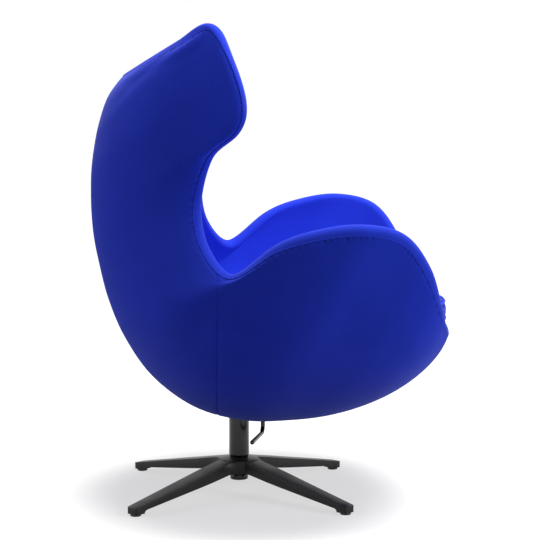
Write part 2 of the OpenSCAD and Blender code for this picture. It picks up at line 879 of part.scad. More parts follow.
module seat_cushion() {
    low_seam = cushion_belly;
    high_seam = cushion_belly + cushion_edge_t;
    n = len(cushion_plan);
    inward = [for (k = [len(cushion_ring_shares) - 1 : -1 : 0]) cushion_ring_shares[k]];
    rings = concat(
        [for (s = cushion_ring_shares) cushion_ring(s, 0, low_seam - cushion_belly * swell(s))],
        [cushion_ring(1, 0, low_seam),
         cushion_ring(1, cushion_bulge, (3 * low_seam + high_seam) / 4),
         cushion_ring(1, cushion_bulge, (low_seam + 3 * high_seam) / 4),
         cushion_ring(1, 0, high_seam)],
        [for (s = inward) cushion_ring(s, 0, high_seam + cushion_crown * swell(s))]
    );
    count = len(rings);
    floor_z = deck_top(cushion_mid) + soft_gap;
    points = concat(
        [for (r = rings) each r],
        [[0, cushion_mid, floor_z], [0, cushion_mid, floor_z + high_seam + cushion_crown]]
    );
    faces = concat(
        [for (i = [0 : count - 2], k = [0 : n - 1])
            let (j = (k + 1) % n)
            each quad(i * n + k, i * n + j, (i + 1) * n + j, (i + 1) * n + k)],
        [for (k = [0 : n - 1]) [(k + 1) % n, k, count * n]],
        [for (k = [0 : n - 1])
            [(count - 1) * n + k, (count - 1) * n + (k + 1) % n, count * n + 1]]
    );
    color(cushion_colour)
        polyhedron(points = points, faces = flipped(faces), convexity = 4);
}

star_base();
for (k = [1 : 4])
    foot_glide(k);
column_tube();
guide_sleeve();
thrust_race();
bearing_balls();
piston_rod();
retaining_clip();
thrust_washer();
rubber_buffer();
gas_cylinder();
release_button();
tilt_housing();
tilt_axle();
axle_clips();
lever_pin();
release_lever();
return_spring(1);  // return_spring_left
return_spring(-1);  // return_spring_right
top_plate();
plate_screws();
seat_board();
shell_core();
outer_cover();
inner_padding();
edge_roll();
deck_pad();
seat_cushion();
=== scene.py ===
import math

import bmesh
import bpy
import numpy as np
from bpy.props import FloatProperty, FloatVectorProperty, PointerProperty
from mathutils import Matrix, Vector
from mathutils.kdtree import KDTree


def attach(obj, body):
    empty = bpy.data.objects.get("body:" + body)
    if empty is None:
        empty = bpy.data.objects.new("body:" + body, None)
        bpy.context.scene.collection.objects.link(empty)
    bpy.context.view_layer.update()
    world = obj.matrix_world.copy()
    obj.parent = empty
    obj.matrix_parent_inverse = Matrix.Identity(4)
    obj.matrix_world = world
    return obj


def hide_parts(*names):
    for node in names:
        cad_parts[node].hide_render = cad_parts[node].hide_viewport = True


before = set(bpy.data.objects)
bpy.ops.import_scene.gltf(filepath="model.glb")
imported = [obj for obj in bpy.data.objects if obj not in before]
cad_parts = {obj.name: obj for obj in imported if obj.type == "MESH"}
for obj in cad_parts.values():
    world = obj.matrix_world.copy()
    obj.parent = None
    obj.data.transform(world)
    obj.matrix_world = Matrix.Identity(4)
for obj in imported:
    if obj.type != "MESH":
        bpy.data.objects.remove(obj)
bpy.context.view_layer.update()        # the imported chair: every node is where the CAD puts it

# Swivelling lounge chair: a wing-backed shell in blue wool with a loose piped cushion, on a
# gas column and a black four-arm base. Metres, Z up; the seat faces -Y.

bl_info = {
    "name": "Swivel Lounge Chair",
    "version": (1, 0, 0),
    "blender": (4, 5, 0),
    "location": "3D View > Sidebar > Lounge Chair",
    "description": "Dresses the chair's frame in wool, powder-coated metal and lacquered steel",
    "category": "Object",
}

MM = 0.001


# Sizes and colours that a user would change

def length(name, description, default):
    return FloatProperty(
        name=name, description=description, default=default, subtype="DISTANCE",
        unit="LENGTH", precision=4)


def srgb(code):
    """Linear red, green and blue of an sRGB hex colour."""
    parts = [int(code[i:i + 2], 16) / 255 for i in (1, 3, 5)]
    return tuple(p / 12.92 if p <= 0.04045 else ((p + 0.055) / 1.055) ** 2.4 for p in parts)


def colour(name, description, code):
    return FloatVectorProperty(
        name=name, description=description, default=srgb(code), size=3, subtype="COLOR",
        min=0, max=1)


class ShellSizes(bpy.types.PropertyGroup):
    width: length("Width", "Width across the arm rims", 0.850)
    depth: length("Depth", "From the back to the front lip", 0.812)
    height: length("Height", "From the underside to the wing tips", 0.902)
    bottom: length("Underside", "Height of the underside above the floor", 0.166)
    wall: length("Wall", "Cover, core and padding together", 0.040)
    cover: length("Cover", "Thickness of the outer upholstery", 0.0055)
    lining_back: length("Lining back", "Depth of the lining's hidden side in the wall", 0.0145)
    roll_rise: length("Roll height", "How far the edge roll stands past the rim line", 0.014)
    seam_depth: length("Seam depth", "How deep the sewn seam is drawn in", 0.0004)
    stitch_gap: length("Stitch spacing", "Mean distance between the hand stitches", 0.0145)
    side_seam_y: length("Side seam", "Distance of the cover's upright seam behind the axis", 0.050)
    opening_width: length("Opening width", "Width of the opening under the shell", 0.092)
    opening_front: length("Opening front", "From the swivel axis to the opening's front", 0.072)
    opening_rear: length("Opening rear", "From the swivel axis to the opening's rear", 0.054)
    opening_corner: length("Opening corner", "Corner radius of the opening", 0.016)


class SeatSizes(bpy.types.PropertyGroup):
    board_top: length("Board top", "Height of the seat board's upper face", 0.336)
    front: length("Cushion front", "Where the cushion's front edge lies along Y", -0.4662)
    depth: length("Cushion depth", "Front to back", 0.666)
    deck_front: length("Deck front", "Deck padding at the front of the cushion", 0.06175)
    deck_rear: length("Deck rear", "Deck padding at the back of the cushion", 0.018)
    low_seam: length("Low seam", "Height of the lower seam above the deck", 0.0083)
    high_seam: length("High seam", "Height of the upper seam above the deck", 0.0463)
    piping: length("Piping", "Radius of the piped cord", 0.0036)
    swell_cap: length("Swell cap", "How far the stuffing may swell the cloth", 0.022)


class BaseSizes(bpy.types.PropertyGroup):
    reach: length("Reach", "From the swivel axis to the end of an arm", 0.337)
    end_half: length("End half width", "Half the arm's width at its end", 0.015)
    mid_half: length("Slender half width", "Half the arm's width on its slender stretch", 0.022)
    mid_at: length("Slender stretch", "Where the slender stretch starts", 0.110)
    root_half: length("Root half width", "Half the arm's width at the hub", 0.021)
    root_at: length("Root", "Where an arm leaves the hub", 0.052)
    hub: length("Hub radius", "Radius of the round hub", 0.0445)
    hub_top: length("Hub top", "Height of the top of the hub", 0.082)
    hub_under: length("Hub underside", "Height of the underside of the hub", 0.049)
    end_top: length("End top", "Height of the top at an arm's end", 0.020)
    end_under: length("End underside", "Height of the underside before the foot", 0.013)
    mid_under: length("Slender underside", "Height of the underside half way along", 0.035)
    mid_under_at: length("Half way", "Where that height is reached", 0.145)
    foot: length("Foot block", "Length of the foot block", 0.025)
    foot_slope: length("Foot cove", "Length of the cove behind the foot block", 0.010)
    edge: length("Edge round", "Rounding of the casting's edges", 0.0018)
    glide_height: length("Glide height", "Height of a floor glide", 0.005)
    glide_radius: length("Glide radius", "Radius of a floor glide", 0.012)
    column: length("Column radius", "Outer radius of the column", 0.023)
    socket: length("Socket radius", "Radius of the column's lower end", 0.0205)
    column_wall: length("Column wall", "Wall of the column tube", 0.003)
    column_foot: length("Column foot", "Height of the column's lower end", 0.030)
    column_top: length("Column top", "Height of the column's upper end", 0.222)


class FinishColours(bpy.types.PropertyGroup):
    wool: colour("Wool", "Upholstery cloth", "#263edb")
    wool_dark: colour("Wool, dark fibres", "Darker fibres in the cloth", "#1c32be")
    casting: colour("Casting", "Powder-coated base", "#161617")
    lacquer: colour("Lacquer", "Lacquered column and lever", "#0c0c0d")
    plastic: colour("Plastic", "Glides and sleeve", "#101011")
    zinc: colour("Zinc", "Plated steel parts", "#a9abad")


class StageSettings(bpy.types.PropertyGroup):
    lens: FloatProperty(
        name="Lens", description="Focal length", default=132.67, subtype="DISTANCE_CAMERA")
    camera_at: FloatVectorProperty(
        name="Camera", description="Where the camera stands", size=3,
        default=(-4.4878, 0.070, 1.045), subtype="XYZ", unit="LENGTH")
    camera_aim: FloatVectorProperty(
        name="Aim", description="What the camera looks at", size=3,
        default=(0.0, -0.071, 0.512), subtype="XYZ", unit="LENGTH")
    overhead: FloatProperty(name="Overhead", description="Softbox above", default=104, unit="POWER")
    rear: FloatProperty(name="Rear", description="Softbox behind", default=24, unit="POWER")
    front: FloatProperty(name="Front", description="Softbox in front", default=42, unit="POWER")
    fill: FloatProperty(name="Fill", description="Strength of the room's light", default=0.10)
    # the floor's glow inside the painted shadow round the chair
    shadow_glow: FloatProperty(
        name="Floor white", description="How white the floor is to the camera", default=0.61)


# Working in edit mode, as by hand

def deselect():
    bpy.ops.object.select_all(action="DESELECT")


def activate(obj):
    deselect()
    obj.select_set(True)
    bpy.context.view_layer.objects.active = obj


def edit(obj, mode="VERT"):
    """Edit mode, with everything selected."""
    activate(obj)
    bpy.ops.object.mode_set(mode="EDIT")
    bpy.ops.mesh.select_mode(type=mode)
    bpy.ops.mesh.select_all(action="SELECT")


def leave_edit():
    bpy.ops.object.mode_set(mode="OBJECT")


def pick(obj, kind, test):
    """Selects the vertices, edges or faces that pass a test, and counts them."""
    bm = bmesh.from_edit_mesh(obj.data)
    bpy.ops.mesh.select_all(action="DESELECT")
    found = 0
    for item in getattr(bm, kind):
        if test(item):
            item.select_set(True)
            found += 1
    bm.select_flush_mode()
    bmesh.update_edit_mesh(obj.data)
    return found


def apply_modifier(obj, kind, **settings):
    activate(obj)
    modifier = obj.modifiers.new("Shape", kind)
    for key, value in settings.items():
        setattr(modifier, key, value)
    bpy.ops.object.modifier_apply(modifier=modifier.name)


def coordinates(obj):
    flat = np.empty(len(obj.data.vertices) * 3)
    obj.data.vertices.foreach_get("co", flat)
    return flat.reshape(-1, 3)


def middle_of(points):
    """Middle of the box round some points."""
    return (points.min(0) + points.max(0)) / 2


def place_vertices(obj, points):
    obj.data.vertices.foreach_set("co", np.ascontiguousarray(points, float).ravel())
    obj.data.update()


def face_outwards(obj):
    """Merges doubles and turns a closed piece's faces outwards."""
    edit(obj)
    bpy.ops.mesh.remove_doubles(threshold=0.001 * MM)
    bpy.ops.mesh.normals_make_consistent(inside=False)
    leave_edit()


def settle(obj, body, finish, nodes=(), angle=40):
    """Puts a finished piece at the origin, gives it its body and finish, and hides the CAD nodes
    that it stands for.
    """
    activate(obj)
    bpy.ops.object.transform_apply(location=True, rotation=True, scale=True)
    bpy.ops.object.shade_smooth_by_angle(angle=math.radians(angle))
    obj.data.materials.clear()
    obj.data.materials.append(finish)
    if nodes:
        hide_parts(*nodes)
    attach(obj, body)
    deselect()


def turned(name, profile, sides=96):
    """A closed turned part: a ring is extruded and resized along (radius, height) pairs."""
    deselect()
    r, z = profile[0]
    bpy.ops.mesh.primitive_circle_add(vertices=sides, radius=r, location=(0, 0, z))
    obj = bpy.context.object
    obj.name = obj.data.name = name
    edit(obj)
    for r_next, z_next in [*profile[1:], profile[0]]:
        bpy.ops.mesh.extrude_edges_move(
            TRANSFORM_OT_translate={"value": (0, 0, z_next - z)})
        if r_next != r:
            bpy.ops.transform.resize(
                value=(r_next / r, r_next / r, 1), center_override=(0, 0, z_next))
        r, z = r_next, z_next
    leave_edit()
    bpy.ops.object.transform_apply(location=True)
    face_outwards(obj)
    return obj


# Materials

def add(tree, kind, inputs=None, **settings):
    """Adds a node with its settings and inputs; an input is a value or a node's output."""
    node = tree.nodes.new("ShaderNode" + kind)
    for key, value in settings.items():
        setattr(node, key, value)
    for key, value in (inputs or {}).items():
        if isinstance(value, bpy.types.NodeSocket):
            tree.links.new(value, node.inputs[key])
        else:
            node.inputs[key].default_value = value
    return node


def new_material(name):
    """A material, its empty node tree and the place on the object, in metres."""
    material = bpy.data.materials.new(name)
    material.use_nodes = True
    tree = material.node_tree
    tree.nodes.clear()
    return material, tree, add(tree, "TexCoord").outputs["Object"]


NOISE_RANGE = {"From Min": 0.3, "From Max": 0.7}    # where most of a noise's values lie


def rgba(values):
    return (*values, 1)


def wool_cloth(colours, sizes, name, sewn=False):
    """Worsted wool upholstery, plain weave, piece-dyed and lightly milled: matte, with a soft
    bloom at grazing angles and fibres of slightly different depth of colour."""
    material, tree, place = new_material(name)
    thread = 1.5 * MM      # real threads are 0.8 mm apart, drawn coarser so that they can show
    fibre, patch = 3.5 * MM, 110 * MM
    uv = add(tree, "UVMap", uv_map="Weave").outputs["UV"]
    axes = add(tree, "SeparateXYZ", {"Vector": uv}).outputs
    waves = []
    for axis in ("X", "Y"):
        turns = add(tree, "Math", {0: axes[axis], 1: math.pi / thread}, operation="MULTIPLY")
        waves.append(add(tree, "Math", {0: turns.outputs[0]}, operation="SINE").outputs[0])
    weave = add(tree, "Math", {0: waves[0], 1: waves[1]}, operation="MULTIPLY")
    threads = add(tree, "MapRange", {"Value": weave.outputs[0], "From Min": -1,
                                     "From Max": 1}).outputs[0]
    fuzz = add(tree, "TexNoise", {"Vector": place, "Scale": 1 / fibre, "Detail": 4,
                                  "Roughness": 0.65}).outputs["Fac"]
    drift = add(tree, "TexNoise", {"Vector": place, "Scale": 1 / patch,
                                   "Detail": 2}).outputs["Fac"]
    tone = 0.0
    for pattern, share in ((fuzz, 0.55), (threads, 0.25), (drift, 0.35)):
        tone = add(tree, "Math", {0: pattern, 1: share, 2: tone},
                   operation="MULTIPLY_ADD").outputs[0]
    depth = add(tree, "MapRange", {"Value": tone, "From Min": 0.3, "From Max": 0.8})
    shade = add(tree, "Mix", {0: depth.outputs[0], 6: rgba(colours.wool_dark),
                              7: rgba(colours.wool)}, data_type="RGBA").outputs[2]
    height = add(tree, "Math", {0: threads, 1: 0.5, 2: fuzz}, operation="MULTIPLY_ADD").outputs[0]
    if sewn:
        stitch = hand_stitches(tree, sizes)
        # painted shade: the cloth turns a darker blue in each tuck, where the dent would hold shade
        dark = add(tree, "MapRange", {"Value": stitch, "To Max": 0.6}).outputs[0]
        shade = add(tree, "Mix", {0: dark, 6: shade, 7: rgba(srgb("#0a1150"))},
                    data_type="RGBA").outputs[2]
        height = add(tree, "Math", {0: stitch, 1: -5.0, 2: height},
                     operation="MULTIPLY_ADD").outputs[0]
    bump = add(tree, "Bump", {"Height": height, "Strength": 0.4, "Distance": 0.35 * MM})
    rough = add(tree, "MapRange", {"Value": fuzz, **NOISE_RANGE, "To Min": 0.82,
                                   "To Max": 0.94})
    shader = add(tree, "BsdfPrincipled", {
        "Base Color": shade, "Roughness": rough.outputs[0], "IOR": 1.45,
        "Specular IOR Level": 0.04, "Sheen Weight": 0.25, "Sheen Roughness": 0.5,
        "Sheen Tint": rgba(srgb("#c3cbff")), "Normal": bump.outputs["Normal"]})
    add(tree, "OutputMaterial", {"Surface": shader.outputs["BSDF"]})
    return material


def hand_stitches(tree, sizes):
    """Short slanting tucks where a hand needle has caught the cover, unevenly spaced: their
    strength dents the cloth and paints in the shade that falls in the dents.
    """
    rim = add(tree, "UVMap", uv_map="Rim").outputs["UV"]
    axes = add(tree, "SeparateXYZ", {"Vector": rim}).outputs
    slant = add(tree, "Math", {0: axes["Y"], 1: 0.35, 2: axes["X"]}, operation="MULTIPLY_ADD")
    count = add(tree, "Math", {0: slant.outputs[0], 1: 1 / sizes.stitch_gap},
                operation="MULTIPLY")
    cells = add(tree, "TexVoronoi", {"W": count.outputs[0], "Scale": 1, "Randomness": 0.85},
                voronoi_dimensions="1D").outputs
    chance = add(tree, "SeparateColor", {"Color": cells["Color"]}).outputs
    tuck = add(tree, "MapRange", {"Value": chance["Red"], "To Min": 4 * MM, "To Max": 12 * MM})
    under = add(tree, "Math", {0: axes["Y"], 1: -1}, operation="MULTIPLY")
    reach = add(tree, "Math", {0: under.outputs[0], 1: tuck.outputs[0]}, operation="DIVIDE")
    stretch = add(tree, "TexNoise", {"W": axes["X"], "Scale": 1 / 0.16, "Detail": 1},
                  noise_dimensions="1D")
    strength = 1.0
    for value, start, end, at_start, at_end in (
            (cells["Distance"], 0.06, 0.26, 1, 0),          # a tuck is narrow,
            (reach.outputs[0], 0.3, 1, 1, 0),               # fades out below the seam
            (axes["Y"], 1 * MM, 3 * MM, 1, 0),              # and starts just above it;
            (chance["Green"], 0, 1, 0.3, 1),                # some tucks are fainter,
            (stretch.outputs["Fac"], 0.4, 0.55, 0.25, 1)):  # and so are whole stretches
        part = add(tree, "MapRange", {"Value": value, "From Min": start, "From Max": end,
                                      "To Min": at_start, "To Max": at_end})
        strength = add(tree, "Math", {0: strength, 1: part.outputs[0]},
                       operation="MULTIPLY").outputs[0]
    return strength


def coated(name, base, edge_wear_and_highlight, roughness, grain, shine=0.5, coat=0.0):
    """Paint or plastic with a fine grain, duller patches and lighter edges: partly wear, partly a
    painted highlight.
    """
    material, tree, place = new_material(name)
    skin = add(tree, "TexNoise", {"Vector": place, "Scale": 1 / grain, "Detail": 3})
    smear = add(tree, "TexNoise", {"Vector": place, "Scale": 1 / 0.06, "Detail": 3}).outputs["Fac"]
    pointed = add(tree, "NewGeometry").outputs["Pointiness"]
    edge = add(tree, "MapRange", {"Value": pointed, "From Min": 0.54, "From Max": 0.66})
    # sharp edges are lightened in patches: rubbed paint, and a painted highlight where the edges
    # would catch the light
    rub_and_highlight = add(tree, "Math", {0: edge.outputs[0], 1: smear}, operation="MULTIPLY")
    shade = add(tree, "Mix", {0: rub_and_highlight.outputs[0], 6: rgba(base), 7: rgba(srgb(edge_wear_and_highlight))},
                data_type="RGBA")
    rough = add(tree, "MapRange", {"Value": smear, **NOISE_RANGE, "To Min": roughness - 0.05,
                                   "To Max": roughness + 0.07})
    bump = add(tree, "Bump", {"Height": skin.outputs["Fac"], "Strength": 0.25,
                              "Distance": 0.15 * MM})
    shader = add(tree, "BsdfPrincipled", {
        "Base Color": shade.outputs[2], "Roughness": rough.outputs[0], "IOR": 1.5,
        "Specular IOR Level": shine, "Coat Weight": coat, "Coat Roughness": 0.15,
        "Normal": bump.outputs["Normal"]})
    add(tree, "OutputMaterial", {"Surface": shader.outputs["BSDF"]})
    return material


def metal(name, base, dull, roughness, grain, stretch=(1, 1, 1)):
    """Bare or plated metal with the marks of its making, stretched along one axis."""
    material, tree, place = new_material(name)
    lengthened = add(tree, "Mapping", {"Vector": place, "Scale": stretch}).outputs["Vector"]
    marks = add(tree, "TexNoise", {"Vector": lengthened, "Scale": 1 / grain,
                                   "Detail": 4}).outputs["Fac"]
    bloom = add(tree, "TexNoise", {"Vector": place, "Scale": 1 / 0.02, "Detail": 2})
    clear = add(tree, "MapRange", {"Value": bloom.outputs["Fac"], **NOISE_RANGE})
    shade = add(tree, "Mix", {0: clear.outputs[0], 6: rgba(dull), 7: rgba(base)},
                data_type="RGBA")
    rough = add(tree, "MapRange", {"Value": marks, **NOISE_RANGE, "To Min": roughness - 0.08,
                                   "To Max": roughness + 0.1})
    bump = add(tree, "Bump", {"Height": marks, "Strength": 0.15, "Distance": 0.1 * MM})
    shader = add(tree, "BsdfPrincipled", {
        "Base Color": shade.outputs[2], "Roughness": rough.outputs[0], "Metallic": 1,
        "Normal": bump.outputs["Normal"]})
    add(tree, "OutputMaterial", {"Surface": shader.outputs["BSDF"]})
    return material


def glass_fibre():
    """Hand-laid glass fibre and polyester: cream, with chopped strands under the gel."""
    material, tree, place = new_material("glass_fibre_laminate")
    strands = add(tree, "TexVoronoi", {"Vector": place, "Scale": 1 / 0.012},
                  distance="MINKOWSKI")
    mottle = add(tree, "TexNoise", {"Vector": place, "Scale": 1 / 0.03, "Detail": 5}).outputs["Fac"]
    fleck = add(tree, "Math", {0: strands.outputs["Distance"], 1: mottle},
                operation="MULTIPLY").outputs[0]
    shade = add(tree, "Mix", {0: fleck, 6: rgba(srgb("#d6cfb8")), 7: rgba(srgb("#b3a988"))},
                data_type="RGBA")
    rough = add(tree, "MapRange", {"Value": mottle, **NOISE_RANGE, "To Min": 0.35,
                                   "To Max": 0.55})
    bump = add(tree, "Bump", {"Height": fleck, "Strength": 0.3, "Distance": 0.5 * MM})
    shader = add(tree, "BsdfPrincipled", {
        "Base Color": shade.outputs[2], "Roughness": rough.outputs[0], "IOR": 1.53,
        "Normal": bump.outputs["Normal"]})
    add(tree, "OutputMaterial", {"Surface": shader.outputs["BSDF"]})
    return material


def birch_plywood():
    """Rotary-cut birch plywood, sanded: pale long grain, darker glue lines between plies."""
    material, tree, place = new_material("birch_plywood")
    ply = 1.33 * MM
    long_grain = add(tree, "Mapping", {"Vector": place, "Scale": (1, 0.06, 1)}).outputs["Vector"]
    grain = add(tree, "TexNoise", {"Vector": long_grain, "Scale": 1 / 0.004, "Detail": 5,
                                   "Distortion": 0.6}).outputs["Fac"]
    height = add(tree, "SeparateXYZ", {"Vector": place}).outputs["Z"]
    layers = add(tree, "Math", {0: height, 1: 2 * ply}, operation="PINGPONG").outputs[0]
    glue = add(tree, "MapRange", {"Value": layers, "From Max": 2 * ply, "To Max": 0.6})
    tone = add(tree, "Math", {0: grain, 1: 0.6, 2: glue.outputs[0]}, operation="MULTIPLY_ADD")
    shade = add(tree, "Mix", {0: tone.outputs[0], 6: rgba(srgb("#d9b988")),
                              7: rgba(srgb("#a97f4e"))}, data_type="RGBA")
    rough = add(tree, "MapRange", {"Value": grain, **NOISE_RANGE, "To Min": 0.5,
                                   "To Max": 0.7})
    bump = add(tree, "Bump", {"Height": grain, "Strength": 0.2, "Distance": 0.2 * MM})
    shader = add(tree, "BsdfPrincipled", {
        "Base Color": shade.outputs[2], "Roughness": rough.outputs[0], "IOR": 1.5,
        "Normal": bump.outputs["Normal"]})
    add(tree, "OutputMaterial", {"Surface": shader.outputs["BSDF"]})
    return material


def make_finishes(colours, sizes):
    """Every finish of the chair, by the name that the pieces ask for."""
    return {
        "wool": wool_cloth(colours, sizes, "worsted_wool"),
        "sewn_wool": wool_cloth(colours, sizes, "worsted_wool_hand_sewn", True),
        # Powder coat on a die casting: satin, with a very fine orange peel
        "casting": coated("powder_coated_casting", colours.casting, "#2a2a2b", 0.4, 1.2 * MM, 0.25),
        # Stoved lacquer on drawn steel: smoother and darker than the casting
        "lacquer": coated("lacquered_steel", colours.lacquer, "#2a2a2b", 0.22, 3 * MM, 0.3, 0.1),
        # Moulded nylon: even and dull, with a spark-eroded grain
        "plastic": coated("moulded_nylon", colours.plastic, "#252526", 0.5, 0.7 * MM),
        # Nitrile rubber: dull black that greys on its edges, partly rubbed and partly a painted
        # highlight
        "rubber": coated("nitrile_rubber", srgb("#0f0f0f"), "#2c2c2c", 0.72, 1.5 * MM),
        # Bright zinc on pressed and turned steel: pale grey, slightly clouded
        "zinc": metal("zinc_plated_steel", colours.zinc, srgb("#8b8e92"), 0.34, 2 * MM),
        # Ground and polished steel, finely scratched round the bar
        "ground": metal("ground_steel", srgb("#c3c5c8"), srgb("#aeb1b4"), 0.2, 1 * MM,
                        (1, 1, 12)),
        # Phosphated spring wire: dark grey and dull
        "spring": metal("phosphated_spring_wire", srgb("#4a4b4d"), srgb("#37383a"), 0.45,
                        1.5 * MM),
        "fibre": glass_fibre(),
        "plywood": birch_plywood(),
    }


FINISHES = {}


def finish(name):
    """One of the finishes, which are all made the first time that one is asked for."""
    if not FINISHES:
        scene = bpy.context.scene
        FINISHES.update(make_finishes(scene.chair_colours, scene.chair_shell))
    return FINISHES[name]


# The shell's surface

# Rows run from the top of the back down the spine, under the seat and up to the front lip.
# Each holds spine back, spine up, rim out, rim back, rim up, wall fullness and rim flare:
# back as a share of the depth, up of the height and out of half the width.
SHELL_ROWS = np.array([
    [0.317, 0.873, 0.000, 0.317, 0.873, 1.00, 0.00],
    [0.361, 0.819, 0.282, 0.269, 0.900, 1.00, 0.05],
    [0.387, 0.751, 0.447, 0.168, 0.954, 1.00, 0.08],
    [0.400, 0.694, 0.541, 0.088, 0.991, 1.00, 0.10],
    [0.408, 0.639, 0.616, 0.042, 0.919, 1.00, 0.12],
    [0.410, 0.586, 0.664, 0.006, 0.819, 1.00, 0.12],
    [0.409, 0.531, 0.673, 0.018, 0.750, 1.00, 0.10],
    [0.403, 0.470, 0.635, 0.090, 0.688, 1.00, 0.08],
    [0.389, 0.404, 0.635, 0.128, 0.581, 1.00, 0.10],
    [0.365, 0.317, 0.720, 0.111, 0.479, 1.00, 0.12],
    [0.320, 0.220, 0.861, 0.034, 0.411, 1.00, 0.14],
    [0.244, 0.120, 0.941, -0.088, 0.480, 1.00, 0.15],
    [0.129, 0.043, 0.979, -0.192, 0.511, 0.95, 0.15],
    [-0.006, 0.009, 1.000, -0.306, 0.522, 0.92, 0.15],
    [-0.135, 0.008, 0.958, -0.412, 0.499, 0.92, 0.13],
    [-0.254, 0.022, 0.908, -0.477, 0.426, 0.94, 0.12],
    [-0.362, 0.054, 0.824, -0.514, 0.343, 0.96, 0.10],
    [-0.453, 0.099, 0.692, -0.539, 0.285, 1.00, 0.08],
    [-0.528, 0.160, 0.461, -0.561, 0.249, 1.00, 0.04],
    [-0.584, 0.227, 0.000, -0.584, 0.227, 1.00, 0.00],
])
LAST_ROW = len(SHELL_ROWS) - 1
RIM_OUT = 2


def rows_between(table, u, out):
    """A table's rows at any u, cubic through each; past an end they run back mirrored."""
    ends = [table[1].copy(), table[-2].copy()]
    for row in ends:
        row[out] *= -1
    rows = np.vstack([ends[0], table, ends[1]])
    k = np.clip(np.floor(u).astype(int), 0, len(table) - 2)
    f = (u - k)[..., None]
    a, b, c, d = (rows[k + i] for i in range(4))
    return (2 * b + (c - a) * f + (2 * a - 5 * b + 4 * c - d) * f ** 2
            + (3 * b - a - 3 * c + d) * f ** 3) / 2


def shell_points(sizes, u, t):
    """Points of the outer surface: u counts rows, t runs from the spine, 0, to a rim, +-1."""
    r = rows_between(SHELL_ROWS, u, RIM_OUT)
    angle = np.abs(t) * math.pi / 2
    full, flare = r[..., 5], r[..., 6]
    out = (1 - flare) * np.sin(angle) ** full + flare * np.abs(t)
    up = 1 - np.clip(np.cos(angle), 0, 1) ** full
    return np.stack([
        np.sign(t) * np.maximum(r[..., 2], 0) * out * sizes.width / 2,
        (r[..., 0] + (r[..., 3] - r[..., 0]) * up) * sizes.depth,
        sizes.bottom + (r[..., 1] + (r[..., 4] - r[..., 1]) * up) * sizes.height], -1)


def unit(v):
    """Vectors of length 1."""
    return v / np.maximum(np.linalg.norm(v, axis=-1, keepdims=True), 1e-12)


def wall_slope(sizes, u, t):
    """Outward direction of the wall, taken over a broad step either way."""
    rows, side = 0.9, 0.1
    along = (shell_points(sizes, np.clip(u + rows, 0, LAST_ROW), t)
             - shell_points(sizes, np.clip(u - rows, 0, LAST_ROW), t))
    across = (shell_points(sizes, u, np.clip(t + side, -1, 1))
              - shell_points(sizes, u, np.clip(t - side, -1, 1)))
    return unit(np.cross(across, along))


def smooth_step(x):
    """0 up to 0, 1 from 1 on, and a soft rise between."""
    x = np.clip(x, 0, 1)
    return x * x * (3 - 2 * x)


def wall_out(sizes, u, t):
    """Outward direction of the wall, turning into the end's own at the two ends."""
    near, fade = 0.35, 0.5
    pole = np.where(u < LAST_ROW / 2, near, LAST_ROW - near)
    share = smooth_step(np.minimum(u, LAST_ROW - u) / fade)[..., None]
    return unit(wall_slope(sizes, pole, 0 * t) * (1 - share) + wall_slope(sizes, u, t) * share)


def looped(values, kernel):
    """Values round a closed line, smoothed by a kernel."""
    half = len(kernel) // 2
    padded = np.concatenate([values[-half:], values, values[:half]])
    return np.stack([np.convolve(padded[:, i], kernel, "valid")
                     for i in range(values.shape[1])], -1)


def bell(width, half):
    """A bell-shaped smoothing kernel."""
    x = np.arange(-half, half + 1)
    k = np.exp(-(x / width) ** 2)
    return k / k.sum()


# Height of the sewn seam over the rim line, in millimetres, along the shell's rows: low on
# the slope behind the wings, over the roll on the wings' fronts, just under it on the arms
SEAM_HEIGHTS = np.array([
    [0, -4], [0.5, -8], [1, -15], [2, -17], [2.6, -16], [3, -9], [3.5, 2], [4, 5], [5.5, 5],
    [6.3, 4], [7, 3], [8.5, 2], [9.5, 0], [10.5, -3], [11.5, -8], [15, -8], [16.5, -5],
    [19, 0]])


# Height at which the roll's outer round ends, in the same way: it is deepest on the arms
ROLL_FEET = np.array([[0, 0], [3, 0], [4.5, -5], [9, -6], [11, -15], [15, -15], [17, -6], [19, 0]])
STEPS = 16      # grid rows to each row of the table
FAR = 1.0       # a distance from the rim past anything that the rim changes


def blended(values):
    """Each inner row of values blended with the rows beside it."""
    return (values[:-2] + 2 * values[1:-1] + values[2:]) / 4


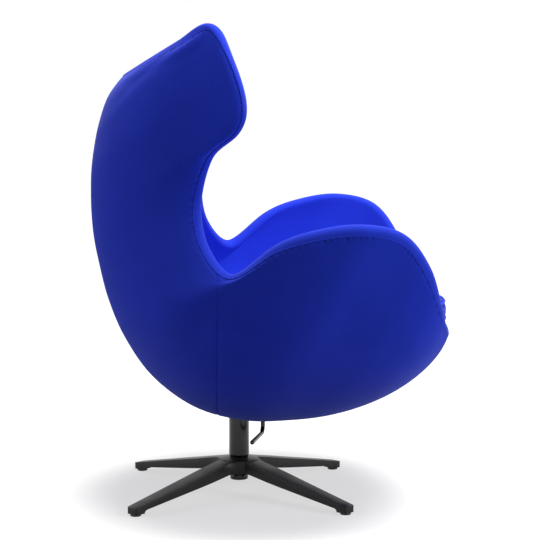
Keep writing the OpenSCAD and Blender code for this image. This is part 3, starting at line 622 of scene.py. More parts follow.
class Wall:
    """The shell's wall on a grid of rows and sides, and the frame of its rim."""

    def __init__(self, sizes):
        self.sizes = sizes
        self.rows = np.linspace(0, LAST_ROW, STEPS * LAST_ROW + 1)
        near, fine, coarse = 0.05, 6, 53        # the sides lie closer together near the rims
        middle = np.linspace(-1 + near, 1 - near, coarse)
        border = 1 - near + near * np.linspace(0, 1, fine + 1)[1:]
        self.sides = np.concatenate([-border[::-1], middle, border])
        u, t = np.meshgrid(self.rows, self.sides, indexing="ij")
        self.outer = shell_points(sizes, u, t)
        self.out = self.softened(wall_out(sizes, u, t))
        self.inner = self.relaxed(self.outer - sizes.wall * self.out)
        self.face = self.evened(self.outer)
        self.frame_rim()
        self.tree = None

    def evened(self, outer):
        """The outer face as stretched cloth: evened out along the rows, but not at the rim, the
        spine or the two ends, where the grid is too fine for it."""
        border, end, fade, passes = 0.16, 0.4, 1.0, 150
        from_edge = np.minimum(1 - np.abs(self.sides), np.abs(self.sides))
        from_end = np.minimum(self.rows, LAST_ROW - self.rows)[1:-1] - end
        share = smooth_step(from_end / fade)[:, None, None]
        share = share * smooth_step(from_edge / border)[:, None]
        face = outer.copy()
        for _ in range(passes):
            face[1:-1] += (blended(face) - face[1:-1]) * share
        sunk = -((face - outer) * self.out).sum(-1, keepdims=True)
        most = 0.3 * MM     # further in, the shell under it would show through
        lift = np.where(sunk > 0, sunk - most * np.tanh(sunk / most), 0)
        return face + self.out * lift

    def softened(self, out):
        """Outward directions evened out, so that the inside doesn't fold in tight corners."""
        passes, every = 48, 4
        for step in range(passes):
            out = out.copy()
            out[1:-1] = blended(out)
            if step % every == 0:
                out[:, 1:-1] = blended(out.swapaxes(0, 1)).swapaxes(0, 1)
            out[0], out[-1] = out[0].mean(0), out[-1].mean(0)
        return unit(out)

    def relaxed(self, inner):
        """The inside's points, slightly evened out along the rows and across them."""
        passes = 10
        for _ in range(passes):
            inner = inner.copy()
            inner[1:-1] = blended(inner)
            inner[:, 1:-1] = (inner[:, :-2] + 6 * inner[:, 1:-1] + inner[:, 2:]) / 8
        return inner

    def frame_rim(self):
        """Directions of the right rim; the left one is its mirror image."""
        outer, inner = self.outer[:, -1], self.inner[:, -1]
        middle = (outer + inner) / 2
        mirror = np.array([-1, 1, 1])
        ended = np.concatenate([middle[1:2] * mirror, middle, middle[-2:-1] * mirror])
        self.along = unit(ended[2:] - ended[:-2])
        self.rim_out = unit(outer - inner)
        self.rise = unit(np.cross(self.along, self.rim_out))
        self.rim_outer, self.rim_middle = outer, middle
        self.rim_half = np.linalg.norm(outer - inner, axis=1) / 2
        self.run = np.concatenate([[0], np.cumsum(
            np.linalg.norm(np.diff(middle, axis=0), axis=1))])
        self.seam = np.interp(self.rows, SEAM_HEIGHTS[:, 0], SEAM_HEIGHTS[:, 1]) * MM
        passes = 30
        for _ in range(passes):
            self.seam[1:-1] = blended(self.seam)
        self.roll_low = np.interp(self.rows, ROLL_FEET[:, 0], ROLL_FEET[:, 1]) * MM

    def roll_section(self, k):
        """Section of the roll at row k, from the lining's edge over the top to the crease:
        across the wall and up past the rim line, and the distance from the seam."""
        half, top, seam = self.rim_half[k], self.sizes.roll_rise, self.seam[k]
        inner_steps, outer_steps, flank_steps, kept_steps = 13, 14, 4, 26
        short_of_seam = 0.08        # the outer arch stops this much, as an angle, before it
        ends = min(k, len(self.rows) - 1 - k) / (1.5 * STEPS)
        proud = 0.15 * MM * smooth_step(ends)
        low, reach = self.roll_low[k], top - self.roll_low[k]
        line = [(half * math.cos(a), top * math.sin(a))
                for a in np.linspace(math.pi, math.pi / 2, inner_steps)]
        over = max(seam - low, 0) / reach
        line += [(half * math.cos(a), low + reach * math.sin(a)) for a in np.linspace(
            math.pi / 2, math.asin(over) + short_of_seam, outer_steps)[1:]]
        if seam < low - 2 * MM:
            line += [(half, y) for y in np.linspace(low, seam + 2.5 * MM, flank_steps)]
        edge = half * math.sqrt(1 - over ** 2)
        sewn = self.sizes.seam_depth
        tuck = [(edge + proud, seam + 2.2 * MM), (edge - 0.3 * sewn, seam + 1.0 * MM),
                (edge - 0.6 * sewn, seam - 0.3 * MM), (edge - 4 * MM, seam - 1.2 * MM),
                (half - self.sizes.lining_back, seam - 2.5 * MM)]
        line = np.array(line + tuck)
        step = np.concatenate([[0], np.cumsum(np.linalg.norm(np.diff(line, axis=0), axis=1))])
        top_end = len(line) - len(tuck)
        at = np.concatenate([np.linspace(0, step[top_end], kept_steps)[1:], step[top_end + 1:]])
        section = np.stack([np.interp(at, step, line[:, i]) for i in (0, 1)], -1)
        return section, step[top_end + 2] - at

    def near_rim(self, points):
        """For points on either side: their distance from the rim and their place along it."""
        if self.tree is None:
            self.tree = KDTree(len(self.rim_outer))
            for i, p in enumerate(self.rim_outer):
                self.tree.insert(p, i)
            self.tree.balance()
        right = np.abs(points[:, 0])
        folded = np.column_stack([right, points[:, 1:]])
        index = np.array([self.tree.find(p)[1] for p in folded])
        away = folded - self.rim_outer[index]
        shift = (away * self.along[index]).sum(-1)
        gap = np.linalg.norm(away - shift[:, None] * self.along[index], axis=-1)
        gap[np.linalg.norm(away, axis=-1) > 120 * MM] = FAR
        return gap, self.run[index] + shift


def mirrored_to(vectors, side):
    """Vectors of the right rim turned to the side, 1 or -1, of each point."""
    vectors = vectors.copy()
    vectors[:, 0] *= side
    return vectors


def grid_piece(name, points):
    """A flat grid is added and each of its vertices moved to its point."""
    rows, cols = points.shape[:2]
    deselect()
    bpy.ops.mesh.primitive_grid_add(x_subdivisions=cols - 1, y_subdivisions=rows - 1, size=1)
    obj = bpy.context.object
    obj.name = obj.data.name = name
    flat = coordinates(obj)
    col = np.rint((flat[:, 0] + 0.5) * (cols - 1)).astype(int)
    row = np.rint((flat[:, 1] + 0.5) * (rows - 1)).astype(int)
    place_vertices(obj, points[row, col])
    return obj, row, col


def uv_map(obj, name, by_vertex):
    """UV map in metres, from a value for each vertex."""
    mesh = obj.data
    layer = mesh.uv_layers.new(name=name)
    index = np.empty(len(mesh.loops), int)
    mesh.loops.foreach_get("vertex_index", index)
    layer.data.foreach_set("uv", np.ascontiguousarray(by_vertex[index], float).ravel())


def weave_map(obj, by_vertex):
    """The cloth's own UV map, in place of any other."""
    while obj.data.uv_layers:
        obj.data.uv_layers.remove(obj.data.uv_layers[0])
    uv_map(obj, "Weave", by_vertex)


def runs(points, axis):
    """Distance run along one axis of a grid of points."""
    step = np.linalg.norm(np.diff(points, axis=axis), axis=-1)
    start = np.zeros_like(np.take(step, [0], axis))
    return np.concatenate([start, np.cumsum(step, axis)], axis)


def closed_tube(name, rings, run, girth):
    """A long closed tube: a grid's vertices are moved onto the rings, then its ends merged."""
    wrapped = np.concatenate([rings, rings[:1]])
    wrapped = np.concatenate([wrapped, wrapped[:, :1]], 1)
    count, around = wrapped.shape[:2]
    obj, row, col = grid_piece(name, wrapped)
    weave_map(obj, np.stack([run * row / (count - 1), girth * col / (around - 1)], -1))
    face_outwards(obj)
    return obj


def turn_outwards(obj):
    """Flips an open sheet's faces if most of them look towards a point in the bowl."""
    inside = Vector((0, -0.05, 0.75))
    total = sum((f.center - inside).dot(f.normal) * f.area for f in obj.data.polygons)
    if total < 0:
        edit(obj)
        bpy.ops.mesh.flip_normals()
        leave_edit()


WALL = []


def wall_of(context):
    """The shell's wall, worked out once."""
    if not WALL:
        WALL.append(Wall(context.scene.chair_shell))
    return WALL[0]


# Operators: one for each piece or group of like pieces

class Piece:
    """What the chair's operators share."""
    bl_options = {"REGISTER", "UNDO"}


class CHAIR_OT_outer_upholstery(Piece, bpy.types.Operator):
    """Wool cover of the shell's outside, with its upright side seam and sewn border"""
    bl_idname = "chair.outer_upholstery"
    bl_label = "Outer Upholstery"

    def execute(self, context):
        sizes = context.scene.chair_shell
        wall = wall_of(context)
        cover, row, col = grid_piece("outer_upholstery", wall.face)
        across, along = runs(wall.face, 1), runs(wall.face, 0)
        middle = len(wall.sides) // 2
        across = across - across[:, middle:middle + 1]
        weave_map(cover, np.stack([across[row, col], along[row, middle]], -1))
        self.fit_border(cover, wall, sizes)
        edit(cover)
        bpy.ops.mesh.remove_doubles(threshold=0.3 * MM)
        leave_edit()
        turn_outwards(cover)
        self.side_seam(cover, sizes)
        apply_modifier(cover, "SOLIDIFY", thickness=sizes.cover, offset=-1, use_even_offset=False)
        self.cut_opening(cover, sizes)
        settle(cover, "seat", finish("sewn_wool"), ["outer_cover"], 60)
        return {"FINISHED"}

    def fit_border(self, cover, wall, sizes):
        """Lets the border out or in to the sewn seam and draws it into the crease."""
        points = coordinates(cover)
        gap, at = wall.near_rim(points)
        seam, low, half = (np.interp(at, wall.run, values)
                           for values in (wall.seam, wall.roll_low, wall.rim_half))
        side = np.where(points[:, 0] < 0, -1, 1)
        rise, out = (mirrored_to(unit(np.stack([
            np.interp(at, wall.run, values[:, i]) for i in range(3)], -1)), side)
            for values in (wall.rise, wall.rim_out))
        reach, crease, steepest = 45 * MM, 4 * MM, 0.95
        share = np.clip(1 - gap / reach, 0, 1)
        shift = seam * share
        moved = shift - gap
        over = np.clip((moved - low) / (sizes.roll_rise - low), 0, steepest)
        sink = half * (1 - np.sqrt(1 - over ** 2))
        sink += sizes.seam_depth * np.exp(-((moved - seam) / crease) ** 2)
        points = points + rise * shift[:, None] - out * (sink * (gap < FAR))[:, None]
        place_vertices(cover, points)
        uv_map(cover, "Rim", np.stack([at, np.where(gap < reach, moved - seam, -FAR)], -1))

    def side_seam(self, cover, sizes):
        """Cuts the sheet along the seam's plane and presses the middle cut in."""
        edit(cover)
        half, pressed, seam_top = 2.5 * MM, 1.4 * MM, 560 * MM
        for y in (-half, 0, half):
            bpy.ops.mesh.select_all(action="SELECT")
            bpy.ops.mesh.bisect(
                plane_co=(0, sizes.side_seam_y + y, 0), plane_no=(0, 1, 0))
        found = pick(cover, "verts", lambda v: abs(v.co.y - sizes.side_seam_y) < 0.01 * MM
                     and v.co.z < seam_top)
        if not found:
            raise RuntimeError("the side seam found no cut to press in")
        bpy.ops.transform.shrink_fatten(value=-pressed)
        leave_edit()

    def cut_opening(self, cover, sizes):
        """Cuts the rounded opening for the mechanism through the underside."""
        middle, height = (sizes.opening_rear - sizes.opening_front) / 2, 0.2
        deselect()
        bpy.ops.mesh.primitive_cube_add(size=1, location=(0, middle, sizes.bottom))
        cutter = bpy.context.object
        edit(cutter)
        bpy.ops.transform.resize(
            value=(sizes.opening_width, sizes.opening_front + sizes.opening_rear, height))
        bpy.ops.mesh.select_mode(type="EDGE")
        pick(cutter, "edges", lambda e: abs(e.verts[0].co.z - e.verts[1].co.z) > height / 2)
        bpy.ops.mesh.bevel(offset=sizes.opening_corner, segments=8)
        leave_edit()
        apply_modifier(cover, "BOOLEAN", object=cutter, operation="DIFFERENCE", solver="EXACT")
        bpy.data.objects.remove(cutter)


class CHAIR_OT_inner_upholstery(Piece, bpy.types.Operator):
    """Padded lining of the shell's inside, carried over the edge roll to the hand-sewn seam"""
    bl_idname = "chair.inner_upholstery"
    bl_label = "Inner Upholstery and Edge Roll"

    def execute(self, context):
        wall = wall_of(context)
        sizes = context.scene.chair_shell
        seat = context.scene.chair_seat
        back = wall.outer - sizes.lining_back * wall.out
        rings, rim_uv = [], []
        for k in range(len(wall.rows)):
            section, from_seam = wall.roll_section(k)
            arc = (wall.rim_middle[k] + wall.rim_out[k] * section[:, :1]
                   + wall.rise[k] * section[:, 1:])
            left = arc * np.array([-1, 1, 1])
            rings.append(np.concatenate([
                wall.inner[k], arc, back[k, ::-1][1:-1], left[::-1], wall.inner[k, :1]]))
            far = np.full(len(wall.sides), FAR)
            rim_uv.append(np.concatenate([
                far, from_seam, far[1:-1], from_seam[::-1], far[:1]]))
        rings = np.array(rings)
        lining, row, col = grid_piece("inner_upholstery", rings)
        weave_map(lining, np.stack([runs(rings, 1)[row, col],
                                    runs(wall.inner, 0)[row, len(wall.sides) // 2]], -1))
        uv_map(lining, "Rim", np.stack([wall.run[row], np.array(rim_uv)[row, col]], -1))
        edit(lining)
        bpy.ops.mesh.remove_doubles(threshold=0.02 * MM)
        bpy.ops.mesh.bisect(
            plane_co=(0, 0, seat.board_top + 1 * MM), plane_no=(0, 0, 1), clear_inner=True)
        bpy.ops.mesh.select_all(action="DESELECT")
        bpy.ops.mesh.select_mode(type="EDGE")
        pick(lining, "edges", lambda e: e.is_boundary)
        bpy.ops.mesh.bridge_edge_loops()
        leave_edit()
        face_outwards(lining)
        settle(lining, "seat", finish("sewn_wool"),
               ["inner_padding", "edge_roll"], 28)
        return {"FINISHED"}


def copy_of_node(node, name):
    """A merged copy of a CAD node's mesh as a new piece."""
    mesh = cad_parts[node].data.copy()
    obj = bpy.data.objects.new(name, mesh)
    mesh.name = name
    bpy.context.scene.collection.objects.link(obj)
    face_outwards(obj)
    return obj


def resize_about(obj, factors):
    """Resizes a piece about its middle."""
    points = coordinates(obj)
    centre = middle_of(points)
    place_vertices(obj, centre + (points - centre) * np.array(factors))


def deck_height(seat, y):
    """Height of the sloping deck under the cushion."""
    return seat.board_top + seat.deck_front + (
        seat.deck_rear - seat.deck_front) * (y - seat.front) / seat.depth


class CHAIR_OT_deck_cover(Piece, bpy.types.Operator):
    """Sloping padded deck under the cushion"""
    bl_idname = "chair.deck_cover"
    bl_label = "Seat Deck"

    def execute(self, context):
        deck = copy_of_node("deck_pad", "deck_upholstery")
        resize_about(deck, (1.012, 1.010, 1))
        apply_modifier(deck, "REMESH", mode="VOXEL", voxel_size=6 * MM)
        apply_modifier(deck, "SMOOTH", factor=0.5, iterations=3)
        points = coordinates(deck)
        weave_map(deck, points[:, :2])
        settle(deck, "seat", finish("wool"), ["deck_pad"], 60)
        return {"FINISHED"}


class CHAIR_OT_seat_cushion(Piece, bpy.types.Operator):
    """Loose cushion: stuffed cloth swollen by simulation, then seamed and piped"""
    bl_idname = "chair.seat_cushion"
    bl_label = "Seat Cushion"

    def execute(self, context):
        seat = context.scene.chair_seat
        cushion = copy_of_node("seat_cushion", "cushion_cover")
        resize_about(cushion, (0.988, 1.0, 0.93))       # room for the cloth to swell
        apply_modifier(cushion, "REMESH", mode="VOXEL", voxel_size=6 * MM)
        apply_modifier(cushion, "SMOOTH", factor=0.5, iterations=2)
        self.swell(context, cushion, seat)
        apply_modifier(cushion, "SUBSURF", levels=1, render_levels=1)
        self.seam(cushion, seat)
        self.map_weave(cushion, seat)
        settle(cushion, "cushion", finish("wool"), ["seat_cushion"], 60)
        for name, height in (("lower_piping", seat.low_seam), ("upper_piping", seat.high_seam)):
            self.pipe(name, cushion, seat, height)
        return {"FINISHED"}

    def above_deck(self, points, seat):
        return points[:, 2] - deck_height(seat, points[:, 1])

    def swell(self, context, cushion, seat):
        """Cloth simulation with inner pressure; the seams hold their line."""
        rest = coordinates(cushion)
        height = self.above_deck(rest, seat)
        near, frames, crown = 4 * MM, 20, 1.06
        still = height < near
        for seam in (seat.low_seam, seat.high_seam):
            still |= np.abs(height - seam) < near
        held = cushion.vertex_groups.new(name="Seams")
        held.add(np.nonzero(still)[0].tolist(), 1, "REPLACE")
        activate(cushion)
        cloth = cushion.modifiers.new("Swell", "CLOTH")
        s = cloth.settings
        s.quality = 4
        s.mass = 0.3
        s.tension_stiffness = s.compression_stiffness = 12
        s.shear_stiffness = 6
        s.bending_stiffness = 0.6
        s.use_pressure = True
        s.uniform_pressure_force = 4
        s.effector_weights.gravity = 0
        s.vertex_group_mass = held.name
        scene = context.scene
        for number in range(frames):
            scene.frame_set(number + 1)
        swollen = cushion.evaluated_get(context.evaluated_depsgraph_get())
        points = np.array([v.co[:] for v in swollen.data.vertices])
        cushion.modifiers.remove(cloth)
        scene.frame_set(1)
        move = points - rest
        far = np.linalg.norm(move, axis=-1, keepdims=True)
        move *= np.minimum(1, seat.swell_cap / np.maximum(far, 1e-9))
        points = rest + move
        top = height.max() * crown + deck_height(seat, points[:, 1])
        points[:, 2] = np.minimum(points[:, 2], top)
        place_vertices(cushion, points)
        cushion.vertex_groups.clear()

    def seam(self, cushion, seat):
        """Draws the cloth in along the two seams."""
        width, drawn = 2.6 * MM, 2.2 * MM
        points = coordinates(cushion)
        height = self.above_deck(points, seat)
        centre = middle_of(points)
        inward = centre - points
        inward[:, 2] = 0
        inward = unit(inward)
        for line in (seat.low_seam, seat.high_seam):
            share = np.exp(-((height - line) / width) ** 2)
            points = points + inward * (drawn * share)[:, None]
        place_vertices(cushion, points)

    def map_weave(self, cushion, seat):
        """Weave runs flat over top and underside and round the border between the seams."""
        points = coordinates(cushion)
        centre = middle_of(points)
        mean_radius = 310 * MM
        turn = np.arctan2(points[:, 0] - centre[0], points[:, 1] - centre[1]) * mean_radius
        mesh = cushion.data
        while mesh.uv_layers:
            mesh.uv_layers.remove(mesh.uv_layers[0])
        layer = mesh.uv_layers.new(name="Weave")
        uv = np.empty((len(mesh.loops), 2))
        height = self.above_deck(points, seat)
        for face in mesh.polygons:
            corners = list(face.vertices)
            level = height[corners].mean()
            side = seat.low_seam < level < seat.high_seam and abs(face.normal.z) < 0.8
            for loop, i in zip(face.loop_indices, corners):
                uv[loop] = (turn[i], points[i, 2]) if side else points[i, :2]
        layer.data.foreach_set("uv", uv.ravel())

    def pipe(self, name, cushion, seat, line):
        """A piped cord laid along a seam of the cushion."""
        points = coordinates(cushion)
        height = self.above_deck(points, seat)
        centre = middle_of(points)
        band = points[np.abs(height - line) < 5 * MM]
        count, around, proud = 420, 12, 1.0 * MM
        turn = np.arctan2(band[:, 0] - centre[0], band[:, 1] - centre[1])
        reach = np.linalg.norm(band[:, :2] - centre[:2], axis=-1)
        bins = np.floor((turn + math.pi) / (2 * math.pi) * count).astype(int) % count
        radius = np.zeros(count)
        np.maximum.at(radius, bins, reach)
        known = np.nonzero(radius)[0]
        radius = np.interp(np.arange(count), known, radius[known], period=count)
        radius = looped(radius[:, None], bell(3, 9))[:, 0] + proud
        angle = (np.arange(count) + 0.5) / count * 2 * math.pi - math.pi
        path = np.stack([centre[0] + radius * np.sin(angle), centre[1] + radius * np.cos(angle),
                         np.zeros(count)], -1)
        path[:, 2] = deck_height(seat, path[:, 1]) + line
        along = unit(np.roll(path, -1, 0) - np.roll(path, 1, 0))
        side = unit(np.cross(along, np.array([0, 0, 1.0])))
        up = np.cross(side, along)
        around_at = np.linspace(0, 2 * math.pi, around, endpoint=False)
        ring = (side[:, None] * np.cos(around_at)[None, :, None]
                + up[:, None] * np.sin(around_at)[None, :, None]) * seat.piping
        run = np.linalg.norm(np.diff(path, axis=0), axis=1).sum()
        cord = closed_tube(name, path[:, None] + ring, run, 2 * math.pi * seat.piping)
        settle(cord, "cushion", finish("wool"), (), 60)


class CHAIR_OT_star_base(Piece, bpy.types.Operator):
    """Die-cast base: four arms drawn out of a block, with feet, joined to a turned hub"""
    bl_idname = "chair.star_base"
    bl_label = "Star Base"

    def section(self, r, b):
        """Half width, top and underside of an arm at a distance from the axis."""
        half = np.interp(r, [b.root_at, b.mid_at, b.reach], [b.root_half, b.mid_half, b.end_half])
        if r > b.reach - 0.5 * MM:
            half -= 3 * MM
        top = np.interp(r, [b.column, b.reach], [b.hub_top, b.end_top])
        start = b.reach - b.foot - b.foot_slope
        under = np.interp(r, [b.root_at, b.mid_under_at, start],
                          [b.hub_under, b.mid_under, b.end_under])
        if r > start:
            share = min((r - start) / b.foot_slope, 1)
            under = b.glide_height + (b.end_under - b.glide_height) * math.sqrt(1 - share ** 2)
        return half, top - 0.8 * MM, under

    def execute(self, context):
        b = context.scene.chair_base
        middle = (b.hub_top + b.hub_under) / 2
        deselect()
        bpy.ops.mesh.primitive_cube_add(size=1, location=(0, 0, middle))
        base = bpy.context.object
        base.name = base.data.name = "star_base_casting"
        bpy.ops.object.transform_apply(location=True)
        edit(base, "FACE")
        bpy.ops.transform.resize(
            value=(2 * b.root_half, 2 * b.root_half, b.hub_top - b.hub_under - 2 * MM),
            center_override=(0, 0, middle))
        start = b.reach - b.foot - b.foot_slope
        in_hub, neck, slender = 0.036, 0.075, (0.18, 0.22, 0.26)
        stations = [in_hub, b.root_at, neck, b.mid_at, b.mid_under_at, *slender, start]
        stations += [start + b.foot_slope * s for s in (0.4, 0.7, 0.9, 1)]
        stations += [b.reach - 3 * MM, b.reach]
        for axis in (Vector((1, 0, 0)), Vector((0, 1, 0)), Vector((-1, 0, 0)),
                     Vector((0, -1, 0))):
            self.arm(base, b, axis, stations)
        leave_edit()
        face_outwards(base)
        self.hub(base, b)
        apply_modifier(base, "BEVEL", width=b.edge, segments=3, limit_method="ANGLE",
                       angle_limit=math.radians(28), use_clamp_overlap=True)
        activate(base)
        base.rotation_euler = (0, 0, math.radians(45))
        settle(base, "base", finish("casting"), ["star_base"], 35)
        return {"FINISHED"}

    def arm(self, base, b, axis, stations):
        side = Vector((-axis.y, axis.x, 0))
        middle = (b.hub_top + b.hub_under) / 2
        pick(base, "faces", lambda f: f.normal.dot(axis) > 0.9
             and abs(f.calc_center_median().dot(axis) - b.root_half) < 0.1 * MM)
        at = b.root_half
        for r in stations:
            bpy.ops.mesh.extrude_region_move(
                TRANSFORM_OT_translate={"value": tuple(axis * (r - at))})
            half, top, under = self.section(r, b)
            bm = bmesh.from_edit_mesh(base.data)
            for v in [v for v in bm.verts if v.select]:
                v.co = (axis * r + side * math.copysign(half, v.co.dot(side))
                        + Vector((0, 0, top if v.co.z > middle else under)))
            middle = (top + under) / 2
            bmesh.update_edit_mesh(base.data)
            at = r

    def hub(self, base, b):
        """Turns the round hub, joins it to the arms and bores the socket of the column."""
        bore = b.socket + 0.1 * MM
        edge_top = b.hub_top - 4.1 * MM
        hub = turned("hub", [
            (bore - 6 * MM, b.hub_under), (b.hub, b.hub_under), (b.hub, edge_top),
            (b.column + 1.5 * MM, b.hub_top), (bore - 6 * MM, b.hub_top)], 96)
        apply_modifier(base, "BOOLEAN", object=hub, operation="UNION", solver="EXACT")
        bpy.data.objects.remove(hub)
        deselect()
        bpy.ops.mesh.primitive_cylinder_add(
            vertices=96, radius=bore, depth=0.2, location=(0, 0, b.hub_top))
        cutter = bpy.context.object
        apply_modifier(base, "BOOLEAN", object=cutter, operation="DIFFERENCE", solver="EXACT")
        bpy.data.objects.remove(cutter)
        face_outwards(base)


class CHAIR_OT_column(Piece, bpy.types.Operator):
    """Lacquered column tube with its shoulder, its recess under the hub and its lower ring"""
    bl_idname = "chair.column"
    bl_label = "Column"

    def execute(self, context):
        b = context.scene.chair_base
        socket_in, inside = b.socket - b.column_wall, b.column - b.column_wall
        shoulder = b.hub_top + 6 * MM
        bore = 5.05 * MM
        floor, floor_top = b.column_foot + 6 * MM, b.column_foot + 10 * MM
        waist = b.socket - 2 * MM
        profile = [
            (bore, floor), (socket_in, floor), (socket_in, b.column_foot + 0.6 * MM),
            (socket_in + 0.5 * MM, b.column_foot), (b.socket - 1.6 * MM, b.column_foot),
            (b.socket - 0.4 * MM, b.column_foot + 0.7 * MM), (b.socket, b.column_foot + 2 * MM),
            (b.socket, b.column_foot + 11 * MM), (b.socket - 0.5 * MM, b.column_foot + 12 * MM),
            (waist, b.column_foot + 12.6 * MM), (waist, b.hub_under + 1 * MM),
            (b.socket, b.hub_under + 1.5 * MM), (b.socket, b.hub_top + 0.3 * MM),
            (b.column - 0.5 * MM, shoulder - 0.8 * MM), (b.column, shoulder),
            (b.column, b.column_top - 0.8 * MM), (b.column - 0.8 * MM, b.column_top),
            (inside, b.column_top), (inside, shoulder), (socket_in, b.hub_top),
            (socket_in, floor_top), (bore, floor_top)]
        column = turned("column_tube_turned", profile)
        settle(column, "base", finish("lacquer"), ["column_tube"], 30)
        return {"FINISHED"}


class CHAIR_OT_floor_glides(Piece, bpy.types.Operator):
    """Four moulded floor glides, turned once and copied under the feet"""
    bl_idname = "chair.floor_glides"
    bl_label = "Floor Glides"

    def execute(self, context):
        b = context.scene.chair_base
        r, h = b.glide_radius, b.glide_height
        profile = [
            (1 * MM, 0.5 * MM), (r - 5 * MM, 0.5 * MM), (r - 4.5 * MM, 0), (r - 1.2 * MM, 0),
            (r - 0.3 * MM, 0.5 * MM), (r, 1.5 * MM), (r, h - 0.8 * MM), (r - 0.5 * MM, h),
            (4 * MM, h), (4 * MM, h + 9 * MM), (1 * MM, h + 9 * MM)]
        first = turned("floor_glide_1", profile, 48)
        edit(first)
        pick(first, "verts", lambda v: v.co.xy.length < 1.1 * MM and v.co.z < 1 * MM)
        bpy.ops.mesh.edge_face_add()
        pick(first, "verts", lambda v: v.co.xy.length < 1.1 * MM and v.co.z > 1 * MM)
        bpy.ops.mesh.edge_face_add()
        leave_edit()
        self.drop_inner_wall(first)
        at = b.reach - b.foot / 2
        for k in range(1, 5):
            turn = math.radians(90 * k - 45)
            glide = first if k == 4 else first.copy()
            if k < 4:
                glide.data = first.data.copy()
                context.scene.collection.objects.link(glide)
            glide.name = glide.data.name = f"floor_glide_piece_{k}"
            glide.location = (at * math.cos(turn), at * math.sin(turn), 0)
            settle(glide, "base", finish("plastic"), [f"foot_glide_{k}"], 40)
        return {"FINISHED"}

    def drop_inner_wall(self, glide):
        """Removes the narrow inner wall that the turning closed, now that both ends have caps."""
        edit(glide, "FACE")
        pick(glide, "faces", lambda f: len(f.verts) == 4 and abs(f.normal.z) < 0.1
             and f.calc_center_median().xy.length < 1.1 * MM)
        bpy.ops.mesh.delete(type="FACE")
        leave_edit()
        face_outwards(glide)


class CHAIR_OT_mechanism_finishes(Piece, bpy.types.Operator):
    """Gives the CAD parts that stay in view their finishes"""
    bl_idname = "chair.mechanism_finishes"
    bl_label = "Mechanism Finishes"

    def execute(self, context):
        kept = {
            "guide_sleeve": "plastic", "thrust_race": "ground", "bearing_balls": "ground",
            "piston_rod": "ground", "retaining_clip": "spring", "thrust_washer": "ground",
            "rubber_buffer": "rubber", "gas_cylinder": "lacquer", "release_button": "zinc",
            "tilt_housing": "casting", "tilt_axle": "ground", "axle_clips": "spring",
            "lever_pin": "zinc", "release_lever": "lacquer", "return_spring_left": "spring",
            "return_spring_right": "spring", "top_plate": "casting", "plate_screws": "zinc",
            "seat_board": "plywood", "shell_core": "fibre"}
        for node, name in kept.items():
            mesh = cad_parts[node].data
            mesh.materials.clear()
            mesh.materials.append(finish(name))
        return {"FINISHED"}


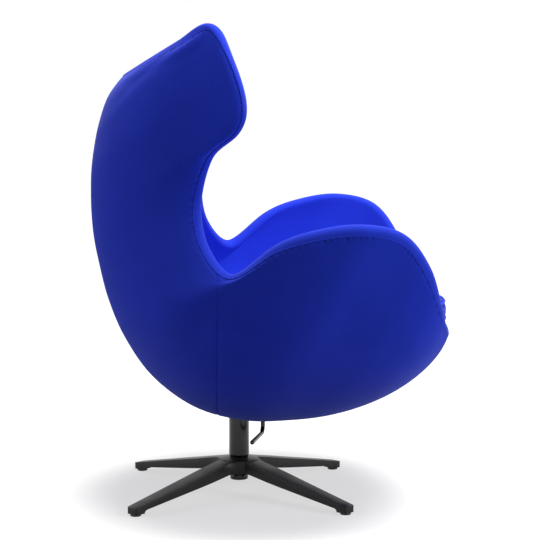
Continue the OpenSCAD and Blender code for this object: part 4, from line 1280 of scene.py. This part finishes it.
class CHAIR_OT_stage(Piece, bpy.types.Operator):
    """White studio floor and room, softboxes and the camera"""
    bl_idname = "chair.stage"
    bl_label = "Stage"

    def execute(self, context):
        scene = context.scene
        stage = scene.chair_stage
        scene.view_settings.view_transform = "Standard"
        self.camera(scene, stage)
        self.room(scene, stage)
        self.floor(stage)
        middle = Vector((0, -0.05, 0.55))
        self.softbox("softbox_overhead", (0.15, -0.5, 3.05), middle, 1.5, 2.0, stage.overhead)
        self.softbox("softbox_rear", (-0.3, 3.0, 1.3), middle, 0.9, 2.2, stage.rear)
        self.softbox("softbox_front", (-1.4, -2.6, 1.2), middle, 0.6, 2.2, stage.front)
        return {"FINISHED"}

    def camera(self, scene, stage):
        data = bpy.data.cameras.new("studio_camera")
        data.sensor_width = 36
        data.lens = stage.lens
        camera = bpy.data.objects.new("studio_camera", data)
        scene.collection.objects.link(camera)
        camera.location = stage.camera_at
        look = Vector(stage.camera_aim) - Vector(stage.camera_at)
        camera.rotation_euler = look.to_track_quat("-Z", "Y").to_euler()
        scene.camera = camera

    def seen_directly(self, tree):
        """1 where a ray comes straight from the camera, off metal or through glass."""
        path = add(tree, "LightPath").outputs
        seen = path["Is Camera Ray"]
        for ray in ("Is Glossy Ray", "Is Transmission Ray"):
            seen = add(tree, "Math", {0: seen, 1: path[ray]}, operation="MAXIMUM").outputs[0]
        return seen

    def room(self, scene, stage):
        world = bpy.data.worlds.new("white_room")
        scene.world = world
        world.use_nodes = True
        tree = world.node_tree
        tree.nodes.clear()
        strength = add(tree, "MapRange", {"Value": self.seen_directly(tree), "To Min": stage.fill,
                                          "To Max": 1})
        back = add(tree, "Background", {"Color": (1, 1, 1, 1), "Strength": strength.outputs[0]})
        add(tree, "OutputWorld", {"Surface": back.outputs["Background"]})

    def floor(self, stage):
        deselect()
        bpy.ops.mesh.primitive_plane_add(size=90, location=(0, 0, 0))
        floor = bpy.context.object
        floor.name = floor.data.name = "studio_floor"
        material, tree, place = new_material("white_painted_floor")
        paint = add(tree, "BsdfDiffuse", {"Color": rgba(srgb("#9a9a9a"))})
        # painted shadow: near the chair the floor glows less to the camera and stays grey, on top
        # of the lamps' own shadow on the paint
        shadow, white = 0.36, 0.66      # the floor turns white to the camera between these
        wide = add(tree, "VectorMath", {0: place, 1: (1, 1.4, 1)}, operation="MULTIPLY")
        away = add(tree, "VectorMath", {0: wide.outputs["Vector"]}, operation="LENGTH")
        painted_shadow_fade = add(tree, "MapRange", {
            "Value": away.outputs["Value"], "From Min": shadow, "From Max": white,
            "To Min": stage.shadow_glow, "To Max": 1.0}, interpolation_type="SMOOTHSTEP")
        glow = add(tree, "Math", {0: self.seen_directly(tree), 1: painted_shadow_fade.outputs[0]},
                   operation="MULTIPLY")
        light = add(tree, "Emission", {"Color": (1, 1, 1, 1), "Strength": glow.outputs[0]})
        both = add(tree, "AddShader", {0: paint.outputs["BSDF"], 1: light.outputs["Emission"]})
        add(tree, "OutputMaterial", {"Surface": both.outputs["Shader"]})
        floor.data.materials.append(material)

    def softbox(self, name, place, aim, width, height, power):
        data = bpy.data.lights.new(name, "AREA")
        data.shape = "RECTANGLE"
        data.size, data.size_y = width, height
        data.energy = power
        lamp = bpy.data.objects.new(name, data)
        bpy.context.scene.collection.objects.link(lamp)
        lamp.location = place
        lamp.rotation_euler = (aim - Vector(place)).to_track_quat("-Z", "Y").to_euler()


OPERATORS = (
    CHAIR_OT_mechanism_finishes, CHAIR_OT_star_base, CHAIR_OT_column, CHAIR_OT_floor_glides,
    CHAIR_OT_outer_upholstery, CHAIR_OT_inner_upholstery, CHAIR_OT_deck_cover,
    CHAIR_OT_seat_cushion, CHAIR_OT_stage)


class CHAIR_PT_panel(bpy.types.Panel):
    """Buttons for the chair's pieces, with their sizes and colours"""
    bl_idname = "CHAIR_PT_panel"
    bl_label = "Lounge Chair"
    bl_space_type = "VIEW_3D"
    bl_region_type = "UI"
    bl_category = "Lounge Chair"

    def draw(self, context):
        for operator in OPERATORS:
            self.layout.operator(operator.bl_idname)
        for name, _ in GROUPS:
            group = getattr(context.scene, name)
            box = self.layout.box()
            for key in group.__annotations__:
                box.prop(group, key)


GROUPS = (
    ("chair_shell", ShellSizes), ("chair_seat", SeatSizes), ("chair_base", BaseSizes),
    ("chair_colours", FinishColours), ("chair_stage", StageSettings))


def register():
    for name, group in GROUPS:
        bpy.utils.register_class(group)
        setattr(bpy.types.Scene, name, PointerProperty(type=group))
    for cls in (*OPERATORS, CHAIR_PT_panel):
        bpy.utils.register_class(cls)


def unregister():
    for cls in (CHAIR_PT_panel, *reversed(OPERATORS)):
        bpy.utils.unregister_class(cls)
    for name, group in reversed(GROUPS):
        delattr(bpy.types.Scene, name)
        bpy.utils.unregister_class(group)


def main():
    register()
    for operator in OPERATORS:
        group, name = operator.bl_idname.split(".")
        getattr(getattr(bpy.ops, group), name)()


if __name__ == "__main__":
    main()
